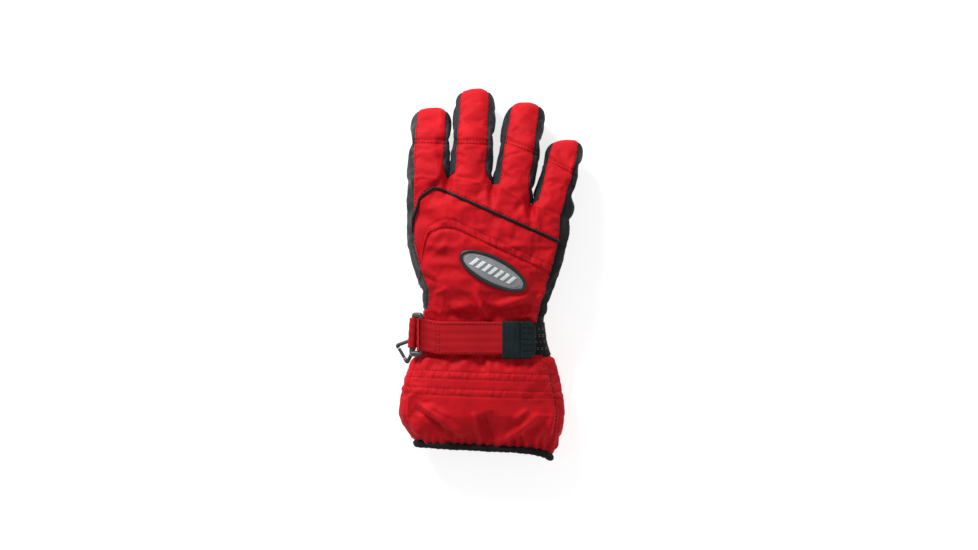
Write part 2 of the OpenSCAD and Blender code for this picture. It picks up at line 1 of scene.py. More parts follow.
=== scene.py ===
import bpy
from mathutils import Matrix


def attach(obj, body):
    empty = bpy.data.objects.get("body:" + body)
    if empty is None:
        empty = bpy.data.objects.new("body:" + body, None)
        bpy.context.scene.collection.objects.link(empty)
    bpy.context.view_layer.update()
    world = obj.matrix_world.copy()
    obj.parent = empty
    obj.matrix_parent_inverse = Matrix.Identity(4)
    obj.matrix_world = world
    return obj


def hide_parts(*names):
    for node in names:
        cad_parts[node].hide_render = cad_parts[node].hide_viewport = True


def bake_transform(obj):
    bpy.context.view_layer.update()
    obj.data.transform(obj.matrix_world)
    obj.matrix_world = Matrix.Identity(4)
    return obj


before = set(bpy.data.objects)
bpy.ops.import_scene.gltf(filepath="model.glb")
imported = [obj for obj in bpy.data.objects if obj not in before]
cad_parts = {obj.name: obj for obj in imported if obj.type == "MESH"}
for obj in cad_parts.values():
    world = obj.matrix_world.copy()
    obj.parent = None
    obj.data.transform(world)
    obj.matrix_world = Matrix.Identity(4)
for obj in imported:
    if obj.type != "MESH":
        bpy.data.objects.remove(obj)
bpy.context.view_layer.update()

import math

import bpy
import numpy as np
from mathutils import Vector
from mathutils.bvhtree import BVHTree

# Lengths are in millimetres, and MM turns them into metres
MM = 0.001
scene = bpy.context.scene


# ---- helpers -----------------------------------------------------------------------------------

def lerp(a, b, t):
    return a + (b - a) * t


def ease(t):
    t = np.clip(t, 0.0, 1.0)
    return t * t * (3 - 2 * t)


def bent(c, e):
    return np.sign(c) * np.abs(c) ** e


def bump(x, width):
    return np.exp(-(x / width) ** 2)


def run_lengths(line):
    """Distance along a line of points, from its first point to each of them."""
    steps = [np.linalg.norm(b - a) for a, b in zip(line[:-1], line[1:])]
    return np.concatenate([[0], np.cumsum(steps)])


def link(obj):
    scene.collection.objects.link(obj)
    return obj


def make_mesh(name, verts, faces, uvs=None, smooth=True):
    """verts in millimetres; uvs as one pair per vertex, also in millimetres."""
    me = bpy.data.meshes.new(name)
    places = [tuple(float(c) * MM for c in v) for v in verts]
    me.from_pydata(places, [], [tuple(int(i) for i in f) for f in faces])
    if uvs is not None:
        layer = me.uv_layers.new(name="cloth")
        for loop in me.loops:
            u = uvs[loop.vertex_index]
            layer.data[loop.index].uv = (float(u[0]) * MM, float(u[1]) * MM)
    me.polygons.foreach_set("use_smooth", [smooth] * len(me.polygons))
    me.update()
    return link(bpy.data.objects.new(name, me))


# ---- the glove's surface -----------------------------------------------------------------------

# Stations of the hand and the gauntlet: y, left edge, right edge, middle height, half height
HAND = np.array([
    (-66, -60.5, 49.5, 24.5, 16.2), (-61, -56.5, 46.8, 25.2, 14.6), (-50, -52.5, 43.4, 26, 13.6),
    (-36, -51.8, 42.2, 27.2, 13.8), (-22, -50.4, 45, 31, 16), (-12, -50.4, 48, 33.4, 16.6),
    (-3, -54.3, 51.4, 35, 16.8), (8, -58.2, 55.2, 36.3, 16.8), (22, -61.7, 58.6, 37, 16.4),
    (36, -63.1, 60.2, 37, 15.6), (50, -62.9, 61.2, 36.6, 14.8), (80, -62.4, 61.4, 36, 13)], dtype=float)
CUFF = np.array([
    (-66, -60.5, 49.5, 24.5, 16.2), (-73, -63, 52.2, 23.6, 18.6), (-80, -65.3, 54, 23, 20.2),
    (-95, -68, 56.8, 22.3, 21.8), (-108, -69.3, 57.4, 21.9, 21.8), (-117, -66.6, 56.2, 20.8, 19.9),
    (-125, -62, 53.2, 20, 16.4), (-130.5, -57.5, 49, 19.5, 13)], dtype=float)
POWER = 2.6


def station(table, y):
    t = table if table[0, 0] < table[-1, 0] else table[::-1]
    return [np.interp(y, t[:, 0], t[:, k]) for k in range(1, 5)]


class Finger:
    def __init__(self, name, x, y, z, lean, droop1, droop2, base_l, tip_l, half_w):
        self.name = name
        self.root = np.array((x, y, z), dtype=float)
        self.lean = lean
        self.droop1 = math.radians(droop1)
        self.droop2 = math.radians(droop2)
        self.base_l = base_l
        self.tip_l = tip_l
        self.half_w = half_w
        self.dart_y = y + base_l * math.cos(self.droop1)

    def place(self, tip, s, z=0.0):
        """A point of the straight segments' middle line, as the joints see it."""
        d = self.droop2 if tip else self.droop1
        j = self.root if not tip else self.place(False, self.base_l)
        return j + np.array((s * math.cos(d) * self.lean, s * math.cos(d) + z * math.sin(d),
                             z * math.cos(d) - s * math.sin(d)))


FINGERS = [
    Finger("index", -46.6, 75.6, 35.5, 0.05, 20, 35, 28.7, 29.2, 15.7),
    Finger("middle", -14.2, 71.9, 36, 0.05, 15, 27, 31, 45.5, 15.9),
    Finger("ring", 18.3, 62.6, 36, 0.16, 15, 27, 37.5, 36.6, 15.7),
    Finger("little", 47.2, 52.6, 35.5, 0.28, 19, 36, 33, 22, 14.2)]
HALF_H = 12.0

# Forks between the fingers, from the little finger's outer side to the index finger's
FORKS = np.array([(61.3, 43.0), (32.0, 53.9), (2.4, 69.0), (-31.6, 74.0), (-62.4, 74.6)])
CORNER_R = 0.89
CORNER_L = -0.92
NT = 16
NS = 12
MID_X = -0.5
HALF_X = 61.9


def section_z(s):
    return np.sqrt(np.maximum(0.0, 1 - np.abs(s) ** POWER))


def piping_y(x):
    y = 64.9 - 0.446 * (x + 36) - 0.05 * np.maximum(0, -36 - x) ** 2
    return y - 0.9 * np.maximum(0, -53 - x) ** 2


def arch_y(x):
    y = 33.9 - 0.467 * (x + 22.9) - 0.026 * np.maximum(0, -22.9 - x) ** 2
    return y - 0.5 * np.maximum(0, -45.5 - x) ** 2


def front_y(x):
    return np.interp(x, FORKS[::-1, 0], FORKS[::-1, 1])


class Skin:
    """One welded quad mesh: points, faces, the panel of each face, and cloth coordinates."""

    def __init__(self):
        self.points = []
        self.index = {}
        self.faces = []
        self.uv = []
        self.panel = []

    def node(self, p):
        key = (round(p[0], 3), round(p[1], 3), round(p[2], 3))
        if key not in self.index:
            self.index[key] = len(self.points)
            self.points.append(p)
        return self.index[key]

    def grid(self, pts, uvs, panel):
        """Adds the quads of pts[row][column]; panel(row, column) names the piece that each is cut from."""
        ids = [[self.node(p) for p in row] for row in pts]
        for r in range(len(ids) - 1):
            for c in range(len(ids[0]) - 1):
                corners = ((r, c), (r + 1, c), (r + 1, c + 1), (r, c + 1))
                quad = [ids[i][j] for i, j in corners]
                if len(set(quad)) == 4:
                    self.faces.append(quad)
                    self.uv.append([uvs[i][j] for i, j in corners])
                    self.panel.append(panel(r, c))
        return ids


def ring_columns():
    """Share of the width, sign of the height and kind for each column of the hand, anticlockwise."""
    cols = []
    bounds = [CORNER_R] + [(f[0] - MID_X) / HALF_X for f in FORKS[1:4]] + [CORNER_L]
    zr = float(section_z(CORNER_R))
    zl = float(section_z(CORNER_L))
    for j in range(NS):
        zf = lerp(-zr, zr, j / NS)
        cols.append(("right", j, (1 - zf * zf) ** (1 / POWER), zf))
    for k in range(4):
        for i in range(NT):
            s = lerp(bounds[k], bounds[k + 1], i / NT)
            cols.append(("top", k * NT + i, s, float(section_z(s))))
    for j in range(NS):
        zf = lerp(zl, -zl, j / NS)
        cols.append(("left", j, -(1 - zf * zf) ** (1 / POWER), zf))
    for k in range(3, -1, -1):
        for i in range(NT):
            s = lerp(bounds[k + 1], bounds[k], i / NT)
            cols.append(("palm", (3 - k) * NT + i, s, -float(section_z(s))))
    cols.append(cols[0])
    return cols


COLS = ring_columns()
TOP0 = NS
LEFT0 = NS + 4 * NT
PALM0 = LEFT0 + NS


def hand_xz(y, s, zf):
    l, r, zc, hh = station(HAND, y)
    return (l + r) / 2 + s * (r - l) / 2, zc + zf * hh


def cross_y(curve, s, y0):
    y = y0
    for _ in range(30):
        l, r = (station(HAND, y)[k] for k in (0, 1))
        y = lerp(y, float(curve((l + r) / 2 + s * (r - l) / 2)), 0.4)
    return y


def front_point(kind, n, s, zf):
    """Where a column of the hand ends, at the roots of the fingers."""
    if kind in ("top", "palm"):
        x = MID_X + HALF_X * s
        k = n / NT if kind == "top" else 4 - n / NT
        f = FINGERS[3 - min(3, int(k + 1e-6))]
        part = k - int(k + 1e-6) if k < 4 else 1.0
        angle = lerp(47, 133, part) if kind == "top" else lerp(318, 222, part)
        z = f.root[2] + HALF_H * float(bent(math.sin(math.radians(angle)), 0.8))
        near = min(abs(x - fx) for fx in FORKS[1:4, 0])
        z += (-6.6 if kind == "top" else 6.0) * float(bump(near, 3.2))
        return np.array((x, float(front_y(x)), z))
    f = FINGERS[3] if kind == "right" else FINGERS[0]
    x, _ = hand_xz(60, s, zf)
    corner = abs(float(section_z(CORNER_R if kind == "right" else CORNER_L)))
    z = f.root[2] + zf / corner * HALF_H * float(bent(math.sin(math.radians(45)), 0.8))
    return np.array((MID_X + HALF_X * s, FORKS[0 if kind == "right" else 4][1], z))


ROWS = (44, 17, 13)
WRIST_ROWS = 2


def hand_rows():
    """Rows of points from the wrist to the fingers' roots; seams lie on rows."""
    controls = []
    corner_l = [cross_y(arch_y, CORNER_L, 10), cross_y(piping_y, CORNER_L, 40)]
    corner_r = [cross_y(arch_y, CORNER_R, 0), cross_y(piping_y, CORNER_R, 25)]
    for kind, n, s, zf in COLS:
        if kind == "top":
            a, b = cross_y(arch_y, s, 10), cross_y(piping_y, s, 40)
        elif kind == "right":
            a, b = corner_r
        elif kind == "left":
            a, b = corner_l
        else:
            w = (s - CORNER_L) / (CORNER_R - CORNER_L)
            a, b = lerp(corner_l[0], corner_r[0], w), lerp(corner_l[1], corner_r[1], w)
        front = front_point(kind, n, s, zf)
        controls.append((-66.0, a, min(b, front[1] - 4), front))
    rows = []
    total = sum(ROWS)
    for r in range(total + 1):
        row = []
        for (kind, n, s, zf), (y0, a, b, front) in zip(COLS, controls):
            if r <= ROWS[0]:
                y = lerp(y0, a, r / ROWS[0])
            elif r <= ROWS[0] + ROWS[1]:
                y = lerp(a, b, (r - ROWS[0]) / ROWS[1])
            else:
                y = lerp(b, front[1], (r - ROWS[0] - ROWS[1]) / ROWS[2])
            x, z = hand_xz(y, s, zf)
            t = float(ease((y - front[1] + 26) / 26))
            row.append(np.array((lerp(x, front[0], t), y, lerp(z, front[2], t * t))))
        rows.append(row)
    return rows


def hem_drop(s, y):
    return (-2.6 * s - 5.6 * max(0, s) ** 6) * float(ease((-105 - y) / 25))


CUFF_ROWS = 40


def cuff_rows():
    rows = []
    for r in range(CUFF_ROWS + 1):
        y = lerp(-130.5, -66, r / CUFF_ROWS)
        l, right, zc, hh = station(CUFF, y)
        rows.append([np.array(((l + right) / 2 + s * (right - l) / 2, y + hem_drop(s, y), zc + zf * hh))
                     for _, _, s, zf in COLS])
    return rows


def smooth_droop(f, y):
    """Slope angle of a finger's middle line at y, turning softly at its root and its dart."""
    a = f.droop1 * float(ease((y - f.root[1] + 9) / 18))
    return a + (f.droop2 - f.droop1) * float(ease((y - f.dart_y + 9) / 18))


def finger_line(f, y0):
    """Points and slope angles of a finger's middle line at every tenth of a millimetre."""
    end = f.place(True, f.tip_l)
    x = f.root[0] + f.lean * (y0 - f.root[1])
    p = np.array((x, y0, f.root[2]))
    out = [(0.0, p.copy(), smooth_droop(f, y0))]
    s = 0.0
    while p[1] < end[1]:
        d = smooth_droop(f, p[1])
        p = p + 0.1 * np.array((math.cos(d) * f.lean, math.cos(d), -math.sin(d)))
        s += 0.1
        out.append((s, p.copy(), d))
    return out


def on_line(line, s):
    i = min(len(line) - 1, max(0, int(round(s * 10))))
    return line[i][1], line[i][2]


def tube_point(f, line, s, angle, k=1.0):
    p, d = on_line(line, s)
    a = math.radians(angle)
    x = k * f.half_w * float(bent(math.cos(a), 0.8))
    z = k * HALF_H * float(bent(math.sin(a), 0.8))
    return p + np.array((x, z * math.sin(d), z * math.cos(d)))


def finger_ring():
    """(side, part, angle) of the columns round a finger: right, back, left and palm."""
    ring = [("right", j, lerp(-42, 47, j / NS)) for j in range(NS)]
    ring += [("back", i, lerp(47, 133, i / NT)) for i in range(NT)]
    ring += [("left", j, lerp(133, 222, j / NS)) for j in range(NS)]
    ring += [("palm", i, lerp(222, 318, i / NT)) for i in range(NT)]
    return ring + [("right", 0, -42)]


def web_point(fork, z_top, z_low, j, from_top):
    """A point of the short vertical seam in a fork."""
    t = j / NS if from_top else 1 - j / NS
    z = lerp(z_top, z_low, t)
    dip = 1.2 * (1 - (2 * t - 1) ** 2)
    return np.array((fork[0], fork[1] - dip, z))


DOME_ROWS = 4


def add_finger(skin, f, k, top_row):
    """top_row is the hand's last row, whose columns the finger continues."""
    fork_r, fork_l = FORKS[k], FORKS[k + 1]
    y0 = (fork_r[1] + fork_l[1]) / 2
    line = finger_line(f, y0)
    total = line[-1][0]
    dome = 13.0
    straight = total - dome
    rows = int(round(straight / 1.75))
    back = [top_row[TOP0 + k * NT + i] for i in range(NT + 1)]
    palm = [top_row[PALM0 + (3 - k) * NT + i] for i in range(NT + 1)]
    if k == 0:
        right = [top_row[j] for j in range(NS + 1)]
    else:
        right = [web_point(fork_r, back[0][2], palm[NT][2], j, False) for j in range(NS + 1)]
    if k == 3:
        left = [top_row[LEFT0 + j] for j in range(NS + 1)]
    else:
        left = [web_point(fork_l, back[NT][2], palm[0][2], j, True) for j in range(NS + 1)]
    starts = right[:NS] + back[:NT] + left[:NS] + palm[:NT] + [right[0]]
    ring = finger_ring()
    # How far out from its root each column takes on the finger's own section
    reach = {"back": [6 + 8 * math.sin(math.pi * i / NT) for i in range(NT)]}
    reach["palm"] = reach["back"]
    reach["right"] = [14 if k == 0 else 6] * NS
    reach["left"] = [14 if k == 3 else 6] * NS
    origin, _ = on_line(line, 0)
    grid = []
    for r in range(rows + DOME_ROWS + 1):
        if r <= rows:
            s, kk = straight * r / rows, 1.0
        else:
            psi = math.radians(50) * (r - rows) / DOME_ROWS
            s = straight + dome * math.sin(psi) ** (2 / 2.5)
            kk = math.cos(psi) ** (2 / 2.5)
        p, _ = on_line(line, s)
        row = []
        for start, (side, part, angle) in zip(starts, ring):
            t = float(ease(s / reach[side][part]))
            tube = tube_point(f, line, s, angle, kk)
            row.append(lerp(start + (p - origin), tube, t))
        grid.append(row)
    circ = run_lengths(grid[rows // 2])
    # Length along the finger at each row, and the row where the tip's panels start
    s_rows = [straight * r / rows for r in range(rows + 1)]
    s_rows += [straight + (r + 1) * 1.8 for r in range(DOME_ROWS)]
    split_y = (f.root[1] + f.dart_y) / 2 + 0.5
    split = next(r for r in range(rows) if on_line(line, s_rows[r])[0][1] > split_y)
    uvs = [[(circ[c] + 200 * k, s_rows[r]) for c in range(len(ring))] for r in range(len(grid))]
    ids = skin.grid(grid, uvs, lambda r, c: f.name + ("_base_" if r < split else "_tip_") + ring[c][0])
    # The rounded end: a square patch bent onto the dome
    cap = []
    for j in range(NS + 1):
        row = []
        for i in range(NT + 1):
            a, b = 1 - 2 * i / NT, 2 * j / NS - 1
            rad = max(abs(a), abs(b))
            if rad < 1e-6:
                angle = 90
            elif abs(b) >= abs(a):
                angle = 90 - 43 * a / rad if b > 0 else 270 + 48 * a / rad
            else:
                angle = lerp(-42, 47, (b / rad + 1) / 2) if a > 0 else lerp(222, 133, (b / rad + 1) / 2)
            if rad > 0.999:
                if b > 0.999:
                    col = NS + i
                elif b < -0.999:
                    col = 2 * NS + NT + (NT - i)
                elif a > 0:
                    col = j
                else:
                    col = NS + NT + (NS - j)
                row.append(grid[-1][col])
                continue
            psi = math.radians(90 - 40 * rad)
            s = straight + dome * math.sin(psi) ** (2 / 2.5)
            row.append(tube_point(f, line, s, angle, max(0.0, math.cos(psi)) ** (2 / 2.5)))
        cap.append(row)
    cap_uv = [[(circ[NS] + i * 1.6 + 200 * k, s_rows[-1] + (NS - j) * 1.6) for i in range(NT + 1)]
              for j in range(NS + 1)]
    # The patch runs from right to left, so its rows go downwards to keep its faces outward
    skin.grid(cap[::-1], cap_uv[::-1],
              lambda r, c: f.name + ("_tip_back" if r < NS // 2 + 1 else "_tip_palm"))
    return line, ids


def build_skin():
    skin = Skin()
    hand = hand_rows()
    widths = run_lengths(hand[20])
    cuff = cuff_rows()
    cuff[-1] = hand[0]
    cuff_names = {"top": "cuff_back", "left": "cuff_edge", "palm": "cuff_palm", "right": "cuff_gusset"}

    def hand_panel(r, c):
        kind = COLS[c][0]
        if r < WRIST_ROWS:
            return cuff_names[kind]
        if kind == "top":
            return "back" if r < ROWS[0] else "middle" if r < ROWS[0] + ROWS[1] else "knuckle"
        if kind == "palm":
            return "wrist_palm" if r < 19 else "palm"
        if kind == "left":
            return "wrist_edge" if r < 25 else "edge"
        return "side"

    uvs = [[(widths[c], p[1]) for c, p in enumerate(row)] for row in hand]
    hand_ids = skin.grid(hand, uvs, hand_panel)
    uvs = [[(widths[c] * 1.08, p[1]) for c, p in enumerate(row)] for row in cuff]
    cuff_ids = skin.grid(cuff, uvs, lambda r, c: cuff_names[COLS[c][0]])
    fingers = [add_finger(skin, FINGERS[3 - k], k, hand[-1]) for k in range(4)][::-1]
    return skin, hand, hand_ids, cuff, cuff_ids, fingers


skin, hand_grid, hand_ids, cuff_grid, cuff_ids, finger_data = build_skin()


# ---- padding: cloth simulation, folds and seams --------------------------------------------------

def puff(points, faces, pinned, cap):
    """The padded fabric between its seams: cloth with a little pressure and some fabric to spare."""
    obj = make_mesh("padding", points, faces)
    group = obj.vertex_groups.new(name="pin")
    for i, weight in enumerate(pinned):
        group.add([i], float(weight), "REPLACE")
    cloth = obj.modifiers.new("cloth", "CLOTH")
    cloth.settings.quality = 6
    cloth.settings.mass = 0.15
    cloth.settings.tension_stiffness = 12
    cloth.settings.compression_stiffness = 12
    cloth.settings.shear_stiffness = 4
    cloth.settings.bending_stiffness = 0.6
    cloth.settings.vertex_group_mass = "pin"
    cloth.settings.pin_stiffness = 1
    cloth.settings.use_pressure = True
    cloth.settings.uniform_pressure_force = 2.5
    cloth.settings.shrink_min = -0.045
    cloth.settings.effector_weights.gravity = 0
    cloth.collision_settings.use_collision = False
    for step in range(1, 19):
        scene.frame_set(step)
    evaluated = obj.evaluated_get(bpy.context.evaluated_depsgraph_get())
    moved = np.array([tuple(v.co) for v in evaluated.data.vertices]) / MM
    scene.frame_set(1)
    bpy.data.objects.remove(obj)
    shift = moved - points
    length = np.linalg.norm(shift, axis=1, keepdims=True)
    return points + shift * np.minimum(1, cap / np.maximum(length, 1e-6))


def seam_points(skin):
    """1 at the points where two panels meet, apart from panels that run on from the hand to a finger."""
    cloth = {"little_right": "side", "index_left": "edge"}
    for f in FINGERS:
        cloth[f.name + "_back"] = "knuckle"
        cloth[f.name + "_palm"] = "palm"
    seen = [set() for _ in skin.points]
    for face, panel in zip(skin.faces, skin.panel):
        panel = panel.replace("_base_", "_").replace("_tip_", "_")
        for i in face:
            seen[i].add(cloth.get(panel, panel))
    return np.array([1.0 if len(s) > 1 else 0.0 for s in seen])


class Fine:
    """The skin, subdivided once and relieved with seams and folds."""

    def __init__(self, skin, points, seam):
        obj = make_mesh("fine", points, skin.faces)
        me = obj.data
        names = sorted(set(skin.panel))
        panel_ids = [names.index(p) for p in skin.panel]
        me.attributes.new("panel", "INT", "FACE").data.foreach_set("value", panel_ids)
        me.attributes.new("seam", "FLOAT", "POINT").data.foreach_set("value", seam)
        me.uv_layers.new(name="cloth").data.foreach_set("uv", np.array(skin.uv, dtype=float).ravel() * MM)
        subdivision = obj.modifiers.new("subdivision", "SUBSURF")
        subdivision.levels = 1
        fine = obj.evaluated_get(bpy.context.evaluated_depsgraph_get()).data
        self.names = names
        self.points = self.read(fine.vertices, "co", 3) / MM
        self.faces = self.read(fine.loops, "vertex_index", 1, int).reshape(-1, 4)
        self.uv = self.read(fine.uv_layers["cloth"].data, "uv", 2).reshape(-1, 4, 2)
        self.panel = self.read(fine.attributes["panel"].data, "value", 1, int)
        self.seam = self.read(fine.attributes["seam"].data, "value", 1)
        bpy.data.objects.remove(obj)
        self.update()

    def read(self, items, name, width, kind=float):
        out = np.zeros(len(items) * width, dtype=kind)
        items.foreach_get(name, out)
        return out.reshape(-1, width) if width > 1 else out

    def update(self):
        """Works out the normals and the search tree again."""
        p, f = self.points, self.faces
        face_n = np.cross(p[f[:, 2]] - p[f[:, 0]], p[f[:, 3]] - p[f[:, 1]])
        normals = np.zeros_like(p)
        for k in range(4):
            np.add.at(normals, f[:, k], face_n)
        self.normals = normals / np.maximum(1e-9, np.linalg.norm(normals, axis=1, keepdims=True))
        self.tree = BVHTree.FromPolygons([tuple(v) for v in p], [tuple(q) for q in f.tolist()])

    def hit(self, origin, direction):
        """Point and normal where a ray meets the skin."""
        place, normal, _, _ = self.tree.ray_cast(Vector(origin), Vector(direction))
        return (np.array(place), np.array(normal)) if place is not None else None


def waves(x, y, period, seed):
    """A smooth random field between about -1 and 1."""
    rng = np.random.default_rng(seed)
    out = np.zeros_like(x)
    for _ in range(7):
        turn = rng.uniform(0, 2 * math.pi)
        k = 2 * math.pi / (period * rng.uniform(0.7, 1.5))
        out += np.sin(k * (math.cos(turn) * x + math.sin(turn) * y) + rng.uniform(0, 2 * math.pi))
    return out / 3.2


def fold(x, y, a, b, width, height):
    """A ridge from a to b that fades out at both ends, or a crease if its height is negative."""
    a, b = np.array(a, dtype=float), np.array(b, dtype=float)
    along = b - a
    t = ((x - a[0]) * along[0] + (y - a[1]) * along[1]) / (along @ along)
    c = np.clip(t, 0, 1)
    d = np.hypot(x - a[0] - c * along[0], y - a[1] - c * along[1])
    return height * np.exp(-(d / width) ** 2) * (1 - np.abs(2 * c - 1) ** 3)


BACK_FOLDS = [
    ((-11, -13), (1, -36), 2.6, 2.0), ((-4, -20), (5, -36), 2.2, -1.3), ((2, -25), (34, -15), 3.2, 1.6),
    ((0, -33), (32, -25), 3.4, -1.7), ((-34, -31), (-6, -31), 2.6, -1.5), ((-30, -26), (-12, -22), 2.8, 1.2),
    ((-42, -14), (-31, -10), 1.8, 1.0), ((-53, 6), (-40, -2), 1.8, 1.0), ((-50, 1), (-38, -8), 1.6, -1.0),
    ((36, -20), (46, -8), 2.0, 1.0), ((-46, -24), (-36, -30), 2.2, 0.9), ((22, -32), (38, -30), 2.0, 1.0),
    ((-44, 14), (-30, 26), 3.0, 0.7), ((40, 2), (47, 14), 2.4, 0.7), ((10, 30), (26, 24), 2.6, -0.6),
    ((-46, 66), (-36, 71), 2.4, -0.9), ((-10, 58), (-4, 66), 2.4, -0.8), ((20, 48), (26, 56), 2.4, -0.8)]
CUFF_FOLDS = [
    ((-56, -96), (-18, -123), 2.3, 2.0), ((-58, -102), (-28, -124), 2.0, -1.5),
    ((-48, -98), (-30, -108), 2.0, 1.1), ((-12, -104), (-5, -130), 2.2, 1.6),
    ((-5, -106), (2, -128), 2.0, -1.2), ((40, -106), (6, -130), 2.4, 1.8),
    ((44, -112), (16, -131), 2.2, -1.4), ((30, -102), (18, -112), 2.2, 1.0),
    ((-36, -112), (-30, -128), 1.8, 1.2), ((50, -100), (46, -124), 2.0, 1.0),
    ((-62, -110), (-52, -124), 2.0, 1.1), ((24, -118), (30, -132), 1.8, 1.1)]
FOLD_DEPTH = 1.75
BADGE_AT = np.array((3.1, 3.0))
BADGE_A, BADGE_B, BADGE_TURN, BADGE_RIM = 28.3, 11.2, math.radians(-27), 3.0
LADDER_ROWS = (-74.6, -80.0, -87.6, -92.8)
LADDER_SLOPE = 0.036
CUFF_SEAM = [(34.6, -63), (43, -69), (47.8, -77), (51.5, -90), (53.9, -102), (53, -117), (51.5, -134)]


def dart_line(f):
    """Middle of a finger's stitched dart on its back, and its direction across the finger."""
    j = f.place(False, f.base_l)
    across = np.array((1, -0.02 if f.name in ("index", "middle") else -f.lean - 0.25, 0))
    return j, across / np.linalg.norm(across)


def beside_clip(x, y):
    """1 on the cloth that the clip swings past, 0 away from it."""
    return np.where((x < -52) & (y > -78) & (y < -46), 1.0, 0.0)


def badge_axes(x, y):
    """Distances along and across the badge from its middle."""
    c, s = math.cos(BADGE_TURN), math.sin(BADGE_TURN)
    dx, dy = x - BADGE_AT[0], y - BADGE_AT[1]
    return dx * c + dy * s, dy * c - dx * s


def under_badge(x, y):
    """1 under the badge, 0 away from it."""
    u, v = badge_axes(x, y)
    return 1 - ease((np.hypot(u / BADGE_A, v / BADGE_B) - 0.95) / 0.25)


def relief(fine):
    """How far each point moves along its normal, in millimetres."""
    x, y, z = fine.points.T
    up = np.clip(fine.normals[:, 2] * 2.5, 0, 1)
    out = -0.75 * fine.seam ** 1.2
    out += 0.4 * waves(x, y + z, 24, 3) * ease((y + 66) / 10) + 0.07 * waves(x + z, y, 6.5, 4)
    for a, b, width, height in BACK_FOLDS:
        out += FOLD_DEPTH * fold(x, y, a, b, width, height) * up
    for a, b, width, height in CUFF_FOLDS:
        out += FOLD_DEPTH * fold(x, y, a, b, width, height) * up
        out += fold(-x - 8, y, a, b, width, height) * np.clip(-fine.normals[:, 2] * 2, 0, 1)
    # The stitched band over the middle seam
    above = y - arch_y(x)
    band = ease((above + 1.2) / 1.5) * (1 - ease((above - 5) / 1.6)) * up * ease((y + 20) / 8)
    out += band * (0.35 + 0.3 * waves(x * 1.6, above * 0.4, 5.0, 5))
    out -= 0.55 * up * (bump(above - 6.2, 0.9) + bump(above + 0.6, 0.9)) * ease((y + 20) / 8)
    # Gathers over the elastic at the wrist, both sides of the strap
    gather = waves(x + 0.3 * y + 0.6 * z, 0.25 * y, 8.5, 6)
    out += gather * (1.5 * bump(y + 66.5, 5.5) + 0.6 * bump(y + 30, 6))
    # Two rows of elastic across the gauntlet
    level = y + LADDER_SLOPE * x
    for low, high in ((LADDER_ROWS[1], LADDER_ROWS[0]), (LADDER_ROWS[3], LADDER_ROWS[2])):
        channel = ease((level - low) / 1.6) * (1 - ease((level - high + 1.6) / 1.6))
        out += channel * (0.15 + 0.5 * waves(x + z, 0.3 * y, 3.7, 7))
    for row in LADDER_ROWS:
        out -= 0.4 * bump(level - row, 0.9)
    # The hem is gathered into its binding, and its gathers run up into the gauntlet
    low = y + 131
    pleat = np.sin(2 * math.pi * (x + 1.4 * waves(x, z, 22, 8)) / 7.0 + 1.5 * np.sign(fine.normals[:, 2]))
    out += pleat * 0.85 * bump(low, 7) + waves(x, y * 0.4, 10, 9) * 0.7 * bump(low - 9, 9)
    # The gusset's seam on the gauntlet
    for a, b in zip(CUFF_SEAM[:-1], CUFF_SEAM[1:]):
        d = np.array(b, dtype=float) - a
        t = np.clip(((x - a[0]) * d[0] + (y - a[1]) * d[1]) / (d @ d), 0, 1)
        out -= 0.6 * up * np.exp(-(np.hypot(x - a[0] - t * d[0], y - a[1] - t * d[1]) / 0.9) ** 2) * 0.7
    # Finger darts: two stitched lines, and the padding rises behind them
    for f in FINGERS:
        j, across = dart_line(f)
        line_d = (x - j[0]) * -across[1] + (y - j[1]) * across[0]
        mine = ease(1.6 - np.abs(x - j[0] - 0.15 * (y - j[1])) / f.half_w * 1.0) * (y > 60)
        side = mine * np.clip((fine.normals[:, 2] - 0.1) * 3, 0, 1)
        out -= side * (1.15 * bump(line_d - 1.3, 1.0) + 1.15 * bump(line_d + 1.3, 1.0))
        out += side * (0.5 * bump(line_d, 0.8) + 0.7 * bump(line_d + 7, 4) + 0.5 * bump(line_d - 7, 4))
        under = mine * np.clip(-fine.normals[:, 2] * 3, 0, 1)
        out -= under * 1.3 * bump(line_d, 1.6)
    # The padding of neighbouring fingers meets in the forks
    flank = np.clip(1 - np.abs(fine.normals[:, 2]) * 1.6, 0, 1)
    for fx, fy in FORKS[1:4]:
        ahead = y - fy
        near = bump(x - fx - 0.12 * ahead, 7) * ease((ahead + 1) / 4) * (1 - ease((ahead - 6) / 9))
        out += 1.2 * flank * near
    # The index and middle fingers lie close, with just enough room to move
    between = bump(x - FORKS[3, 0] - 0.05 * (y - FORKS[3, 1]), 6) * ease((y - 84) / 6)
    out -= 0.45 * flank * between
    # The side panel puffs out at the little finger's root, over a crease
    outer = bump(x - 62, 6) * flank
    out += outer * (2.6 * bump(y - 51, 6.5) - 1.3 * bump(y - 41.5, 2.5))
    # Creases of the leather palm
    palm = np.clip(-fine.normals[:, 2] * 2, 0, 1) * ease((y + 20) / 10)
    out += palm * 0.5 * waves(x, 1.8 * y, 13, 10)
    for a, b, w, h in (((-48, 40), (30, 26), 2.2, -1.4), ((-20, 58), (52, 34), 2.2, -1.4),
                       ((-34, 30), (-12, -18), 2.4, -1.4), ((6, 20), (18, -20), 2.4, -0.9)):
        out += fold(x, y, a, b, w, h) * palm
    # The badge lies on a smooth patch, and the clip has room to swing
    out = out * (1 - up * under_badge(x, y))
    return np.where(beside_clip(x, y) > 0.5, np.minimum(out, 0), out)


# The furthest that the simulation moves a point
PUFF_LIMIT = 2.6
